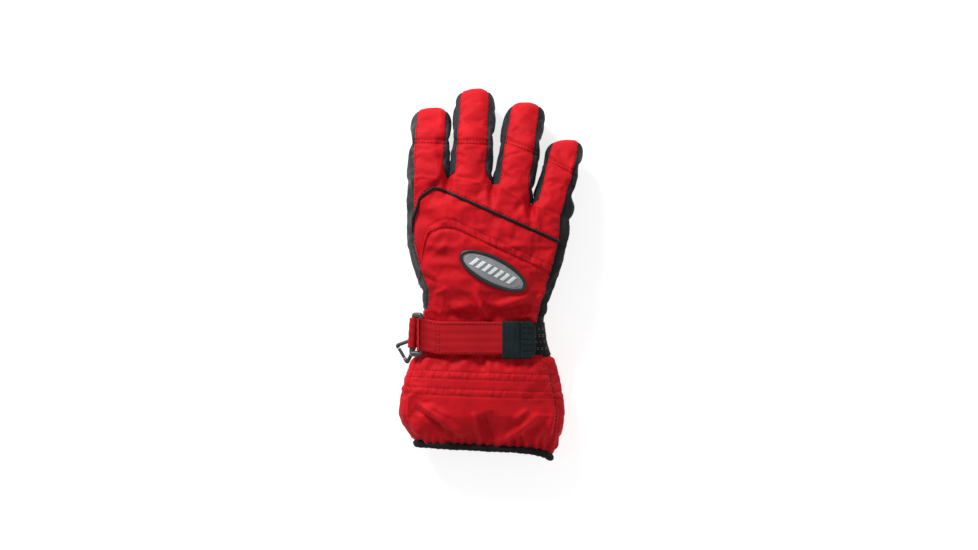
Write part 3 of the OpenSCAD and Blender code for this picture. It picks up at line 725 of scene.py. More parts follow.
# The skin's least height over the surface that the glove lies on
GROUND = 0.5
points = np.array(skin.points)
seam = seam_points(skin)
pinned = np.where(seam > 0, 1.0, 0.04)
pinned[(points[:, 1] > -63.5) & (points[:, 1] < -33)] = 1.0
pinned[points[:, 1] < -129] = 1.0
pinned[beside_clip(points[:, 0], points[:, 1]) > 0.5] = 1.0
pinned[(points[:, 2] > 38) & (under_badge(points[:, 0], points[:, 1]) > 0.3)] = 1.0
points = puff(points, skin.faces, pinned, PUFF_LIMIT)
fine = Fine(skin, points, seam)
fine.points = fine.points + fine.normals * relief(fine)[:, None]
fine.points[:, 2] = np.maximum(fine.points[:, 2], GROUND)
fine.update()


# ---- materials ---------------------------------------------------------------------------------

class Shade:
    """A node material: short calls that add nodes and link them."""

    def __init__(self, name, rough, sheen=0.0, sheen_rough=0.5, coat=0.0, specular=0.5, sheen_tint=None):
        self.material = bpy.data.materials.new(name)
        self.material.use_nodes = True
        self.tree = self.material.node_tree
        self.shader = self.tree.nodes["Principled BSDF"]
        self.shader.inputs["Sheen Weight"].default_value = sheen
        self.shader.inputs["Sheen Roughness"].default_value = sheen_rough
        if sheen_tint:
            self.shader.inputs["Sheen Tint"].default_value = (*sheen_tint, 1)
        self.shader.inputs["Coat Weight"].default_value = coat
        self.shader.inputs["Coat Roughness"].default_value = 0.35
        self.shader.inputs["Specular IOR Level"].default_value = specular
        self.shader.inputs["Roughness"].default_value = rough
        self.coords = self.tree.nodes.new("ShaderNodeTexCoord")

    def node(self, kind, **values):
        n = self.tree.nodes.new(kind)
        for key, value in values.items():
            if key in n.inputs:
                n.inputs[key].default_value = value
            else:
                setattr(n, key, value)
        return n

    def link(self, a, b):
        self.tree.links.new(a, b)

    def noise(self, scale, detail=3.0, where="Object"):
        n = self.node("ShaderNodeTexNoise", Scale=scale, Detail=detail)
        self.link(self.coords.outputs[where], n.inputs["Vector"])
        return n.outputs["Fac"]

    def cells(self, scale, where="Object"):
        n = self.node("ShaderNodeTexVoronoi", Scale=scale, feature="DISTANCE_TO_EDGE")
        self.link(self.coords.outputs[where], n.inputs["Vector"])
        return n.outputs["Distance"]

    def stripes(self, period, direction, where="UV", diagonal=False):
        n = self.node("ShaderNodeTexWave", Scale=0.314 / period, Distortion=0.0)
        n.bands_direction = "DIAGONAL" if diagonal else direction
        self.link(self.coords.outputs[where], n.inputs["Vector"])
        return n.outputs["Fac"]

    def math(self, operation, a, b):
        n = self.node("ShaderNodeMath", operation=operation)
        for socket, value in zip(n.inputs, (a, b)):
            if isinstance(value, (int, float)):
                socket.default_value = value
            else:
                self.link(value, socket)
        return n.outputs[0]

    def ramp(self, fac, colours, places):
        n = self.node("ShaderNodeValToRGB")
        while len(n.color_ramp.elements) < len(colours):
            n.color_ramp.elements.new(0.5)
        for e, colour, place in zip(n.color_ramp.elements, colours, places):
            e.position = place
            e.color = (*colour, 1)
        self.link(fac, n.inputs["Fac"])
        return n.outputs["Color"]

    def colour(self, fac, colours, places=(0.3, 0.7)):
        self.link(self.ramp(fac, colours, places), self.shader.inputs["Base Color"])
        return self

    def rough_range(self, fac, low, high):
        n = self.node("ShaderNodeMapRange")
        n.inputs["To Min"].default_value = low
        n.inputs["To Max"].default_value = high
        self.link(fac, n.inputs["Value"])
        self.link(n.outputs["Result"], self.shader.inputs["Roughness"])
        return self

    def bump(self, height, strength, distance):
        n = self.node("ShaderNodeBump", Strength=strength, Distance=distance * MM)
        self.link(height, n.inputs["Height"])
        self.link(n.outputs["Normal"], self.shader.inputs["Normal"])
        return self.material


def woven(name, dark, bright, period, sheen, rough, strength=0.35, tint=None):
    """Plain woven cloth: two sets of threads, slight unevenness of colour and soft sheen."""
    s = Shade(name, rough, sheen, 0.45, 0.0, 0.12, tint)
    weave = s.math("MULTIPLY", s.stripes(period, "X"), s.stripes(period, "Y"))
    fuzz = s.noise(1500, 2.0)
    mottle = s.math("ADD", s.math("MULTIPLY", s.noise(45, 5.0), 0.75), s.math("MULTIPLY", weave, 0.25))
    s.colour(mottle, (dark, bright), (0.28, 0.72))
    s.rough_range(fuzz, rough - 0.08, rough + 0.1)
    return s.bump(s.math("ADD", weave, s.math("MULTIPLY", fuzz, 0.8)), strength, 0.25)


def ribbed(name, dark, bright, period, rough):
    """Stretch textile with fine lengthwise ribs."""
    s = Shade(name, rough, 0.05, 0.5, 0.0, 0.2, (0.7, 0.72, 0.8))
    ribs = s.stripes(period, "X")
    cross = s.stripes(period * 0.55, "Y")
    height = s.math("ADD", ribs, s.math("MULTIPLY", cross, 0.5))
    s.colour(s.math("MULTIPLY", s.math("ADD", s.noise(60, 4.0), height), 0.5), (dark, bright), (0.25, 0.85))
    return s.bump(height, 0.6, 0.3)


def leather(name, dark, bright):
    """Fine pebbled leather, smoother and lighter where it wears."""
    s = Shade(name, 0.5, 0.0, 0.5, 0.06, 0.38)
    pebbles = s.math("MINIMUM", s.math("MULTIPLY", s.cells(900), 9.0), 1.0)
    pores = s.noise(2600, 2.0)
    worn = s.noise(38, 5.0)
    tone = s.math("ADD", s.math("MULTIPLY", worn, 0.8), s.math("MULTIPLY", pebbles, 0.2))
    s.colour(tone, (dark, bright), (0.35, 0.85))
    s.rough_range(worn, 0.62, 0.4)
    return s.bump(s.math("ADD", pebbles, s.math("MULTIPLY", pores, 0.5)), 0.35, 0.18)


def webbing(name, dark, bright):
    """Heavy twill webbing with crosswise cords and slanted threads."""
    s = Shade(name, 0.6, 0.03, 0.45, 0.0, 0.12, (1.0, 0.2, 0.2))
    cords = s.stripes(1.25, "X")
    threads = s.stripes(0.62, "X", diagonal=True)
    height = s.math("ADD", cords, s.math("MULTIPLY", threads, 0.7))
    s.colour(s.math("ADD", s.math("MULTIPLY", s.noise(70, 4.0), 0.6), s.math("MULTIPLY", height, 0.25)),
             (dark, bright), (0.25, 0.85))
    return s.bump(height, 0.55, 0.3)


def moulded(name, dark, bright, rough, coat=0.0, specular=0.5):
    """Moulded plastic or rubber with a fine spark texture and faint handling marks."""
    s = Shade(name, rough, 0.0, 0.5, coat, specular)
    wear = s.noise(120, 6.0)
    s.colour(wear, (dark, bright), (0.35, 0.75))
    s.rough_range(wear, rough - 0.1, rough + 0.12)
    return s.bump(s.noise(3000, 2.0), 0.12, 0.1)


def fleece(name, dark, bright):
    s = Shade(name, 0.95, 0.1, 0.6, 0.0, 0.2)
    pile = s.noise(900, 4.0)
    s.colour(s.math("MULTIPLY", s.math("ADD", pile, s.noise(80, 3.0)), 0.5), (dark, bright), (0.35, 0.65))
    return s.bump(pile, 0.8, 0.8)


RED = ((0.44, 0.0035, 0.009), (0.62, 0.007, 0.014))
MAT = {
    "nylon_red": woven("nylon_red", *RED, 0.75, 0.03, 0.68, 0.3, (1.0, 0.2, 0.2)),
    "textile_grey": ribbed("textile_grey", (0.006, 0.0065, 0.008), (0.024, 0.025, 0.03), 1.1, 0.72),
    "lining_black": fleece("lining_black", (0.012, 0.012, 0.014), (0.035, 0.035, 0.04)),
    "leather_black": leather("leather_black", (0.007, 0.009, 0.009), (0.024, 0.03, 0.029)),
    "webbing_red": webbing("webbing_red", (0.34, 0.004, 0.008), (0.53, 0.008, 0.014)),
    "piping_black": woven("piping_black", (0.008, 0.004, 0.005), (0.022, 0.01, 0.013), 0.6, 0.1, 0.5, 0.3),
    "elastic_black": ribbed("elastic_black", (0.007, 0.008, 0.009), (0.024, 0.026, 0.028), 1.4, 0.85),
    "hook_black": fleece("hook_black", (0.008, 0.008, 0.009), (0.02, 0.02, 0.022)),
    "loop_black": fleece("loop_black", (0.01, 0.01, 0.011), (0.03, 0.03, 0.033)),
    "tab_rubber": moulded("tab_rubber", (0.007, 0.013, 0.014), (0.012, 0.02, 0.022), 0.5, 0.0, 0.12),
    "hardware_grey": moulded("hardware_grey", (0.03, 0.033, 0.036), (0.055, 0.06, 0.064), 0.32, 0.2),
    "badge_rim": moulded("badge_rim", (0.01, 0.0095, 0.01), (0.018, 0.017, 0.018), 0.42),
    "badge_face": moulded("badge_face", (0.2, 0.215, 0.225), (0.28, 0.295, 0.305), 0.36, 0.2),
    "badge_mark": moulded("badge_mark", (0.66, 0.67, 0.68), (0.76, 0.77, 0.78), 0.4),
    "label_black": woven("label_black", (0.006, 0.006, 0.007), (0.02, 0.02, 0.022), 0.5, 0.1, 0.8),
    # The red thread is darker than the red cloth: painted shade standing in for the shadow along the stitched
    # lines.
    "thread_red": woven("thread_red", (0.22, 0.004, 0.008), (0.36, 0.008, 0.014), 0.2, 0.0, 0.7),
    "thread_black": woven("thread_black", (0.03, 0.03, 0.034), (0.07, 0.07, 0.078), 0.2, 0.1, 0.6),
    "thread_grey": woven("thread_grey", (0.15, 0.16, 0.17), (0.26, 0.27, 0.29), 0.2, 0.1, 0.6)}


def finish_piece(obj, slot):
    obj.data.materials.clear()
    obj.data.materials.append(MAT[slot])
    return obj


# ---- how each part of the glove moves ------------------------------------------------------------

def mm(p):
    return tuple(float(c) * MM for c in p)


CUFF_BEND = ("hand", "cuff", mm((0, -63.5, 24.5)), mm((0, -79, 24.5)))
BEND = {}
for k, f in enumerate(reversed(FINGERS)):
    a, b = FORKS[k], FORKS[k + 1]
    normal = np.array((b[1] - a[1], a[0] - b[0]))
    normal = normal / np.linalg.norm(normal)
    middle = (a + b) / 2
    BEND[f.name + "_base"] = ("hand", f.name + "_base", mm((*middle, f.root[2])),
                              mm((*(middle + 13 * normal), f.root[2])))
    dart = f.place(False, f.base_l)
    way = np.array((f.lean, 1, 0)) / math.hypot(f.lean, 1)
    BEND[f.name + "_tip"] = (f.name + "_base", f.name + "_tip", mm(dart - 8 * way), mm(dart + 8 * way))
BEND["cuff"] = CUFF_BEND


def carry(obj, region):
    """region is a body's name, or the name of a bend between two bodies."""
    if region in BEND:
        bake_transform(obj)
    else:
        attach(obj, region)
    return obj


# ---- the panels ----------------------------------------------------------------------------------

def cut_piece(name, panels):
    chosen = np.isin(fine.panel, [fine.names.index(p) for p in panels])
    used, faces = np.unique(fine.faces[chosen], return_inverse=True)
    obj = make_mesh(name, fine.points[used], faces.reshape(-1, 4))
    layer = obj.data.uv_layers.new(name="cloth")
    layer.data.foreach_set("uv", fine.uv[chosen].ravel())
    obj.data.normals_split_custom_set_from_vertices([tuple(n) for n in fine.normals[used]])
    return obj


PANELS = [
    ("back", ["back"], "nylon_red", "hand", ["back_panel"]),
    ("middle_back", ["middle"], "nylon_red", "hand", ["middle_back_panel"]),
    ("knuckle", ["knuckle"], "nylon_red", "hand", ["knuckle_panel"]),
    ("side", ["side"], "textile_grey", "hand", ["side_panel"]),
    ("palm", ["palm", "edge"], "leather_black", "hand", ["palm_leather"]),
    ("wrist_palm", ["wrist_palm", "wrist_edge"], "nylon_red", "hand", ["wrist_palm_panel"]),
    ("gauntlet_back", ["cuff_back", "cuff_edge"], "nylon_red", "cuff", ["cuff_back"]),
    ("gauntlet_palm", ["cuff_palm"], "nylon_red", "cuff", ["cuff_palm"]),
    ("gauntlet_gusset", ["cuff_gusset"], "nylon_red", "cuff", ["cuff_gusset"])]
for f in FINGERS:
    for part in ("base", "tip"):
        key = f.name + "_" + part
        left = "leather_black" if f.name == "index" else "textile_grey"
        extra = [f.name + "_lining"] if part == "base" else []
        PANELS += [
            (key + "_top", [key + "_back"], "nylon_red", key, [key + "_back"] + extra),
            (key + "_under", [key + "_palm"], "leather_black", key, [key + "_palm"]),
            (key + "_inner", [key + "_left"], left, key, [key + "_sides"]),
            (key + "_outer", [key + "_right"], "textile_grey", key, [])]
for name, panels, slot, region, nodes in PANELS:
    piece = finish_piece(cut_piece(name, panels), slot)
    carry(piece, region)
    if nodes:
        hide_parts(*nodes)


# ---- sewn lines ----------------------------------------------------------------------------------

def stitch_mesh(name, seats, length, radius, slot, region):
    """seats: (place, direction, normal) of each stitch, in millimetres."""
    if not seats:
        return None
    verts, faces = [], []
    sides = 6
    rings = ((-0.5, 0.45, -0.6), (-0.32, 0.9, 0.25), (0, 1, 0.5), (0.32, 0.9, 0.25), (0.5, 0.45, -0.6))
    for place, way, normal in seats:
        way = way / np.linalg.norm(way)
        side = np.cross(way, normal)
        side = side / np.linalg.norm(side)
        rise = np.cross(side, way)
        base = len(verts)
        for t, k, lift in rings:
            centre = place + way * length * t + rise * radius * lift
            for i in range(sides):
                a = 2 * math.pi * i / sides
                verts.append(centre + radius * k * (math.cos(a) * side + math.sin(a) * rise))
        for r in range(len(rings) - 1):
            for i in range(sides):
                j = (i + 1) % sides
                faces.append((base + r * sides + i, base + r * sides + j,
                              base + (r + 1) * sides + j, base + (r + 1) * sides + i))
        faces.append(tuple(base + i for i in reversed(range(sides))))
        faces.append(tuple(base + (len(rings) - 1) * sides + i for i in range(sides)))
    obj = finish_piece(make_mesh(name, verts, faces, [(v[0], v[1]) for v in verts]), slot)
    return carry(obj, region)


def along(points, spacing):
    """Evenly spaced places and directions along a line of points."""
    points = [np.array(p, dtype=float) for p in points]
    out = []
    left = spacing / 2
    for a, b in zip(points[:-1], points[1:]):
        span = np.linalg.norm(b - a)
        while left < span:
            out.append((a + (b - a) * left / span, (b - a) / span))
            left += spacing
        left -= span
    return out


def on_top(line, spacing):
    """Stitch seats along a line seen from above."""
    seats = []
    for p, d in along([(q[0], q[1]) for q in line], spacing):
        found = fine.hit((p[0], p[1], 120), (0, 0, -1))
        if found:
            place, normal = found
            way = np.array((d[0], d[1], 0))
            way = way - normal * (way @ normal)
            seats.append((place, way, normal))
    return seats


def on_grid(ids, spacing):
    """Stitch seats along a row of the skin's own points."""
    seats = []
    pts = fine.points[ids]
    for p, d in along(pts, spacing):
        place, normal, _, _ = fine.tree.find_nearest(Vector(p))
        seats.append((np.array(place), d, np.array(normal)))
    return seats


def curve_line(curve, x0, x1, lift=0.0, step=2.0):
    xs = np.arange(x0, x1, step)
    return [(x, float(curve(x)) + lift) for x in xs]


LENGTH, GAP, R = 2.3, 3.1, 0.3
piping_seats = on_top(curve_line(piping_y, -54, 52, 2.6), GAP)
stitch_mesh("stitches_piping", piping_seats, LENGTH, R, "thread_red", "hand")
for lift, tag in ((0.9, "low"), (6.0, "high")):
    seats = on_top(curve_line(arch_y, -48, 47, lift), 2.3)
    stitch_mesh("stitches_middle_" + tag, seats, 1.7, R, "thread_red", "hand")
border = [ids[TOP0 + 1] for ids in hand_ids[16:]]
stitch_mesh("stitches_border", on_grid(border, GAP), LENGTH, R, "thread_red", "hand")
thumb_side = [ids[LEFT0 - 1] for ids in hand_ids[22:]]
stitch_mesh("stitches_thumb_side", on_grid(thumb_side, GAP), LENGTH, R, "thread_red", "hand")
for column, tag in ((PALM0, "left"), (PALM0 + 4 * NT - 1, "right")):
    palm_edge = [ids[column] for ids in hand_ids[19:]]
    stitch_mesh("stitches_palm_" + tag, on_grid(palm_edge, GAP), LENGTH, R, "thread_black", "hand")
for f, (line, ids) in zip(FINGERS, finger_data):
    # Stitches up to 12 mm past the root are cut as the finger's base piece, and the rest as its tip piece
    half = next(r for r in range(len(ids)) if points[ids[r][0]][1] > f.root[1] + 12)
    for part, rows in (("base", ids[2:half + 1]), ("tip", ids[half:])):
        region = f.name + "_" + part
        for column, thread, tag in ((NS + 1, "thread_red", "outer"), (NS + NT - 1, "thread_red", "inner"),
                                    (2 * NS + NT + 1, "thread_black", "under_inner"),
                                    (2 * NS + 2 * NT - 1, "thread_black", "under_outer")):
            seats = on_grid([row[column] for row in rows], 2.6)
            stitch_mesh("stitches_%s_%s" % (region, tag), seats, 1.9, 0.26, thread, region)
    j, across = dart_line(f)
    for lift in (-1.3, 1.3):
        way = np.array((-across[1], across[0], 0)) * lift
        seats = on_top([j + way - across * (f.half_w - 3.5), j + way + across * (f.half_w - 3.5)], 2.4)
        name = "stitches_%s_dart_%s" % (f.name, "low" if lift < 0 else "high")
        stitch_mesh(name, seats, 1.8, R, "thread_red", f.name + "_tip")


def round_cuff(y, spacing):
    """Stitch seats right round the gauntlet at y."""
    pts = []
    l, r, zc, hh = station(CUFF, y)
    for k in range(160):
        a = 2 * math.pi * k / 160
        s = float(bent(math.cos(a), 0.75))
        x = (l + r) / 2 + s * (r - l) / 2
        z = zc + math.copysign(1, math.sin(a)) * float(section_z(s)) * hh
        pts.append(np.array((x, y - LADDER_SLOPE * x, z)))
    seats = []
    for p, d in along(pts + [pts[0]], spacing):
        place, normal, _, _ = fine.tree.find_nearest(Vector(p))
        seats.append((np.array(place), d, np.array(normal)))
    return seats


for n, y in enumerate(LADDER_ROWS):
    stitch_mesh("stitches_gauntlet_%d" % n, round_cuff(y, 2.6), 2.0, R, "thread_red", "cuff")
gusset_seats = on_top([(x - 1.6, y) for x, y in CUFF_SEAM[1:]], GAP)
stitch_mesh("stitches_gusset", gusset_seats, LENGTH, R, "thread_red", "cuff")


# ---- small soft parts ------------------------------------------------------------------------------

def tube(name, path, radius, sides, slot, closed=False, up=(0, 0, 1), flat=1.0):
    """A tube along path; radius may be a function of the ring's number."""
    path = [np.array(p, dtype=float) for p in path]
    n = len(path)
    verts, faces, uvs = [], [], []
    run = 0.0
    for i in range(n):
        a = path[(i - 1) % n] if closed else path[max(0, i - 1)]
        b = path[(i + 1) % n] if closed else path[min(n - 1, i + 1)]
        t = (b - a) / np.linalg.norm(b - a)
        side = np.cross(t, up)
        side = side / np.linalg.norm(side)
        rise = np.cross(side, t)
        run += np.linalg.norm(path[i] - path[i - 1]) if i else 0
        for k in range(sides):
            angle = 2 * math.pi * k / sides
            r = radius(i, angle) if callable(radius) else radius
            verts.append(path[i] + r * (math.cos(angle) * side + flat * math.sin(angle) * rise))
            uvs.append((run, r * angle))
    for i in range(n if closed else n - 1):
        for k in range(sides):
            j = (i + 1) % n
            m = (k + 1) % sides
            faces.append((i * sides + k, i * sides + m, j * sides + m, j * sides + k))
    if not closed:
        faces.append(tuple(reversed(range(sides))))
        faces.append(tuple(range((n - 1) * sides, n * sides)))
    return finish_piece(make_mesh(name, verts, faces, uvs), slot)


row = hand_ids[ROWS[0] + ROWS[1]]
piping_path = [fine.points[row[c]] + fine.normals[row[c]] * 1.0 for c in range(TOP0, LEFT0 + 1)]
piping = carry(tube("piping", piping_path, 1.3, 12, "piping_black"), "hand")
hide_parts("knuckle_piping")

hem_r = 2.7
hem_rings = 420
hem_line = []
edge = [np.array(p) for p in cuff_grid[0][:-1]]
closed_edge = np.array(edge + [edge[0]])
lengths = run_lengths(closed_edge)
centre = closed_edge.mean(axis=0)
for k in range(hem_rings):
    s = lengths[-1] * k / hem_rings
    p = np.array([np.interp(s, lengths, closed_edge[:, i]) for i in range(3)])
    inward = np.array((centre[0] - p[0], 0, (centre[2] - p[2]) * 2.2))
    inward = inward / np.linalg.norm(inward)
    gather = 0.5 * math.sin(2 * math.pi * k * 46 / hem_rings)
    gather += 0.3 * math.sin(2 * math.pi * k * 17 / hem_rings)
    hem_line.append(p + inward * (1.4 - 0.3 * gather) + np.array((0, -2.6 + 0.35 * gather, 0)))


def hem_radius(i, angle):
    weave = 0.07 * math.sin(2 * math.pi * i * 140 / hem_rings)
    return hem_r * (1 + weave + 0.05 * math.sin(3 * angle + i * 0.11))


hem = tube("hem", hem_line, hem_radius, 16, "elastic_black", closed=True, up=(0, 1, 0))
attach(hem, "cuff")
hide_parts("hem_binding")
hem_seats = []
for k in range(0, hem_rings, 5):
    p = hem_line[k]
    place, normal, _, _ = fine.tree.find_nearest(Vector(p + np.array((0, 5.2, 0))))
    d = hem_line[(k + 1) % hem_rings] - p
    hem_seats.append((np.array(place), d, np.array(normal)))
stitch_mesh("stitches_hem", hem_seats, 2.4, R, "thread_black", "cuff")


def inner_lining():
    """The brushed lining inside the gauntlet and the wrist, seen from the hem."""
    rows = cuff_grid[:-1] + hand_grid[:26]
    verts, uvs = [], []
    n = len(rows[0]) - 1
    for r, points_row in enumerate(rows):
        mid = np.mean([p for p in points_row[:-1]], axis=0)
        for c in range(n):
            p = points_row[c]
            q = np.array((mid[0] + (p[0] - mid[0]) * 0.9, p[1], mid[2] + (p[2] - mid[2]) * 0.7))
            q = q + np.array((0, 0, 0.5)) * math.sin(c * 1.3 + r * 0.7)
            verts.append(q)
            uvs.append((c * 2.0, p[1]))
    faces = [(r * n + c, (r + 1) * n + c, (r + 1) * n + (c + 1) % n, r * n + (c + 1) % n)
             for r in range(len(rows) - 1) for c in range(n)]
    return finish_piece(make_mesh("fleece", verts, faces, uvs), "lining_black")


fleece_piece = carry(inner_lining(), "cuff")
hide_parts("hand_lining", "cuff_lining", "wrist_elastic")

# ---- thumb -----------------------------------------------------------------------------------------

THUMB_ROOT = np.array((-41.0, -4.0, 10.6))
THUMB_TURN = math.radians(36)
THUMB_HW, THUMB_HH, THUMB_BASE, THUMB_TIP, HEEL = 14.8, 9.7, 31.0, 30.0, 12.8
THUMB_WAY = np.array((math.sin(THUMB_TURN), math.cos(THUMB_TURN), 0))
THUMB_ACROSS = np.array((math.cos(THUMB_TURN), -math.sin(THUMB_TURN), 0))


def thumb_grid():
    rows, cols = 64, 56
    total = HEEL + THUMB_BASE + THUMB_TIP
    grid = []
    for r in range(rows + 1):
        t = 0.5 - 0.5 * math.cos(math.pi * r / rows)
        s = total * t - HEEL
        end = 15.0
        over = max(0.0, -s / HEEL, (s - (THUMB_BASE + THUMB_TIP - end)) / end)
        k = (1 - min(1.0, over) ** 2.3) ** (1 / 2.3)
        line = []
        for c in range(cols):
            a = 2 * math.pi * c / cols
            x, z = k * THUMB_HW * float(bent(math.cos(a), 0.8)), k * THUMB_HH * float(bent(math.sin(a), 0.8))
            swell = 0.35 * math.sin(s * 0.5 + 2 * math.cos(a)) * math.sin(a * 3) * k
            swell -= 0.9 * math.exp(-((s - THUMB_BASE) / 1.6) ** 2)
            to_seam = min(a % math.pi, math.pi - a % math.pi)
            swell -= 0.5 * math.exp(-(to_seam / 0.05) ** 2) * k
            x += swell * math.cos(a)
            z += swell * math.sin(a)
            z = max(z, 0.2 - THUMB_ROOT[2])
            line.append(THUMB_ROOT + THUMB_WAY * s + THUMB_ACROSS * x + np.array((0, 0, z)))
        grid.append(line)
    return grid


thumb = thumb_grid()
BEND["thumb_tip"] = ("thumb_base", "thumb_tip", mm(THUMB_ROOT + THUMB_WAY * (THUMB_BASE - 6)),
                     mm(THUMB_ROOT + THUMB_WAY * (THUMB_BASE + 6)))


def thumb_piece(name, first, last, slot, nodes, rows, region):
    n = len(thumb[0])
    cols = [c % n for c in range(first, last + 1)]
    verts = [thumb[r][c] for r in rows for c in cols]
    w = len(cols)
    uvs = [(c * 1.7, r * 1.2) for r in rows for c in range(w)]
    faces = [(r * w + c, (r + 1) * w + c, (r + 1) * w + c + 1, r * w + c + 1)[::-1]
             for r in range(len(rows) - 1) for c in range(w - 1)]
    piece = finish_piece(make_mesh(name, verts, faces, uvs), slot)
    carry(piece, region)
    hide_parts(*nodes)
    return piece


half = len(thumb[0]) // 2
split = next(r for r in range(len(thumb)) if (thumb[r][0] - THUMB_ROOT) @ THUMB_WAY > THUMB_BASE - 8)
for part, rows in (("base", range(split + 1)), ("tip", range(split, len(thumb)))):
    key = "thumb_" + part
    lining = ["thumb_lining"] if part == "base" else []
    thumb_piece(key + "_inside", 0, half, "leather_black", [key + "_palm"] + lining, rows, key)
    thumb_piece(key + "_outside", half, 2 * half, "nylon_red", [key + "_back"], rows, key)
turns = np.linspace(0, 2 * math.pi, 49)[:-1]
collar = [THUMB_ROOT + np.array((9.6 * math.cos(a), 9.6 * math.sin(a), 9.4)) for a in turns]
gusset = tube("thumb_gusset", collar, lambda i, angle: 2.6 + 0.2 * math.sin(i * 2.1), 12, "leather_black",
              closed=True)
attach(gusset, "thumb_base")


def thumb_seats(points, spacing):
    """Stitch seats along a line on the thumb."""
    seats = []
    for p, d in along(points, spacing):
        n = p - (THUMB_ROOT + THUMB_WAY * ((p - THUMB_ROOT) @ THUMB_WAY))
        seats.append((p, d, n / np.linalg.norm(n)))
    return seats


for column, tag in ((half + 2, "inner"), (len(thumb[0]) - 2, "outer")):
    line = [thumb[r][column] for r in range(4, len(thumb) - 3)]
    stitch_mesh("stitches_thumb_" + tag, thumb_seats(line, 2.6), 1.9, 0.28, "thread_red", "thumb_tip")
for lift, tag in ((-2.2, "low"), (2.2, "high")):
    place = THUMB_BASE + lift
    nearest = min(thumb, key=lambda row: abs((row[0] - THUMB_ROOT) @ THUMB_WAY - place))
    stitch_mesh("stitches_thumb_dart_" + tag, thumb_seats(nearest[half + 3:-2], 2.4), 1.8, 0.28, "thread_red",
                "thumb_tip")

# ---- strap -------------------------------------------------------------------------------------------

FOLD = np.array((-52.2, 36.4))
FOLD_R = 1.85
FOLD_TURN = math.radians(16)
STRAP_Y, STRAP_W, STRAP_T = -48.0, 25.0, 1.5
TAB_X, TAB_END, TAB_W, TAB_T = 10.0, 35.5, 29.0, 2.5


def strap_z(x, lift):
    s = np.clip((x + 4.75) / 47.75, -0.93, 0.97)
    zc, hh = station(HAND, -50)[2:]
    return zc + section_z(s) * hh + 1.3 + lift


def strap_mid(x):
    """The strap's middle line climbs a little where it turns round the ring."""
    return STRAP_Y + 2.3 * float(ease((-38 - x) / 13))


def ribbon(name, path, thick, slot, width=STRAP_W, middle=strap_mid):
    """Webbing along a path of (x, z), with rounded edges."""
    path = [np.array(p, dtype=float) for p in path]
    w = width / 2
    e = 0.5
    section = []
    for k in range(25):
        section.append((lerp(-w + e, w - e, k / 24), thick / 2))
    section += [(w - 0.15, thick / 2 - 0.3), (w, 0), (w - 0.15, -thick / 2 + 0.3)]
    for k in range(25):
        section.append((lerp(w - e, -w + e, k / 24), -thick / 2))
    section += [(-w + 0.15, -thick / 2 + 0.3), (-w, 0), (-w + 0.15, thick / 2 - 0.3)]
    verts, faces, uvs = [], [], []
    n = len(section)
    run = 0.0
    for i, p in enumerate(path):
        a, b = path[max(0, i - 1)], path[min(len(path) - 1, i + 1)]
        t = (b - a) / np.linalg.norm(b - a)
        normal = np.array((-t[1], t[0]))
        run += np.linalg.norm(p - path[i - 1]) if i else 0
        for y, h in section:
            h = h + (0.12 * math.cos(y * 2 * math.pi / 6.2) if h > 0.5 else 0)
            q = p + normal * h
            verts.append((q[0], middle(p[0]) + y, q[1]))
            uvs.append((run, y))
    for i in range(len(path) - 1):
        for k in range(n):
            m = (k + 1) % n
            faces.append((i * n + k, i * n + m, (i + 1) * n + m, (i + 1) * n + k))
    faces.append(tuple(range(n)))
    faces.append(tuple(reversed(range((len(path) - 1) * n, len(path) * n))))
    return finish_piece(make_mesh(name, verts, faces, uvs), slot)


def fold_point(angle, r):
    return FOLD + r * np.array((math.cos(angle), math.sin(angle)))


mid_r = FOLD_R + STRAP_T / 2
bottom = FOLD_TURN - math.pi / 2
fold_way = np.array((math.cos(FOLD_TURN), math.sin(FOLD_TURN)))
base_path = [(x, strap_z(x, STRAP_T / 2)) for x in np.arange(34, -44.1, -2)]
base_path += [tuple(fold_point(bottom, mid_r) + t * fold_way) for t in (2, 0)]
base_path += [tuple(fold_point(bottom - t * math.pi, mid_r)) for t in np.linspace(0.08, 0.96, 14)]
strap_under = ribbon("strap_under", base_path, STRAP_T, "webbing_red")
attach(strap_under, "hand")
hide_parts("strap_base")
top = FOLD_TURN + math.pi / 2
flap_path = [tuple(fold_point(top, mid_r) + 0.3 * fold_way)]
flap_path += [(x, strap_z(x, 3.9 + STRAP_T / 2)) for x in np.arange(-45, TAB_X + 2.1, 1.5)]
strap_over = ribbon("strap_over", flap_path, STRAP_T, "webbing_red")
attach(strap_over, "strap_flap")
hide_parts("strap_flap")


def strap_seats(points, spacing):
    out = []
    for p, d in along(points, spacing):
        z = float(strap_z(p[0], 3.9 + STRAP_T)) + 0.02
        ahead = float(strap_z(p[0] + d[0], 3.9 + STRAP_T)) + 0.02
        out.append((np.array((p[0], p[1], z)), np.array((d[0], d[1], ahead - z)), np.array((0, 0, 1.0))))
    return out


w = STRAP_W / 2 - 1.8
strap_lines = [[(x, strap_mid(x) + side * w) for x in np.linspace(-46, TAB_X - 0.6, 30)] for side in (-1, 1)]
strap_lines += [[(x, strap_mid(x) - w), (x, strap_mid(x) + w)] for x in (-40.5, -38.0)]
for n, line in enumerate(strap_lines):
    stitch_mesh("stitches_strap_%d" % n, strap_seats(line, 2.9), 2.1, R, "thread_red", "strap_flap")


def tab_outline(x):
    """Half width of the pull tab at x, with its outer corners rounded."""
    r = 5.5
    over = max(0.0, x - (TAB_END - r))
    return TAB_W / 2 - (r - math.sqrt(max(0.0, r * r - over * over)))


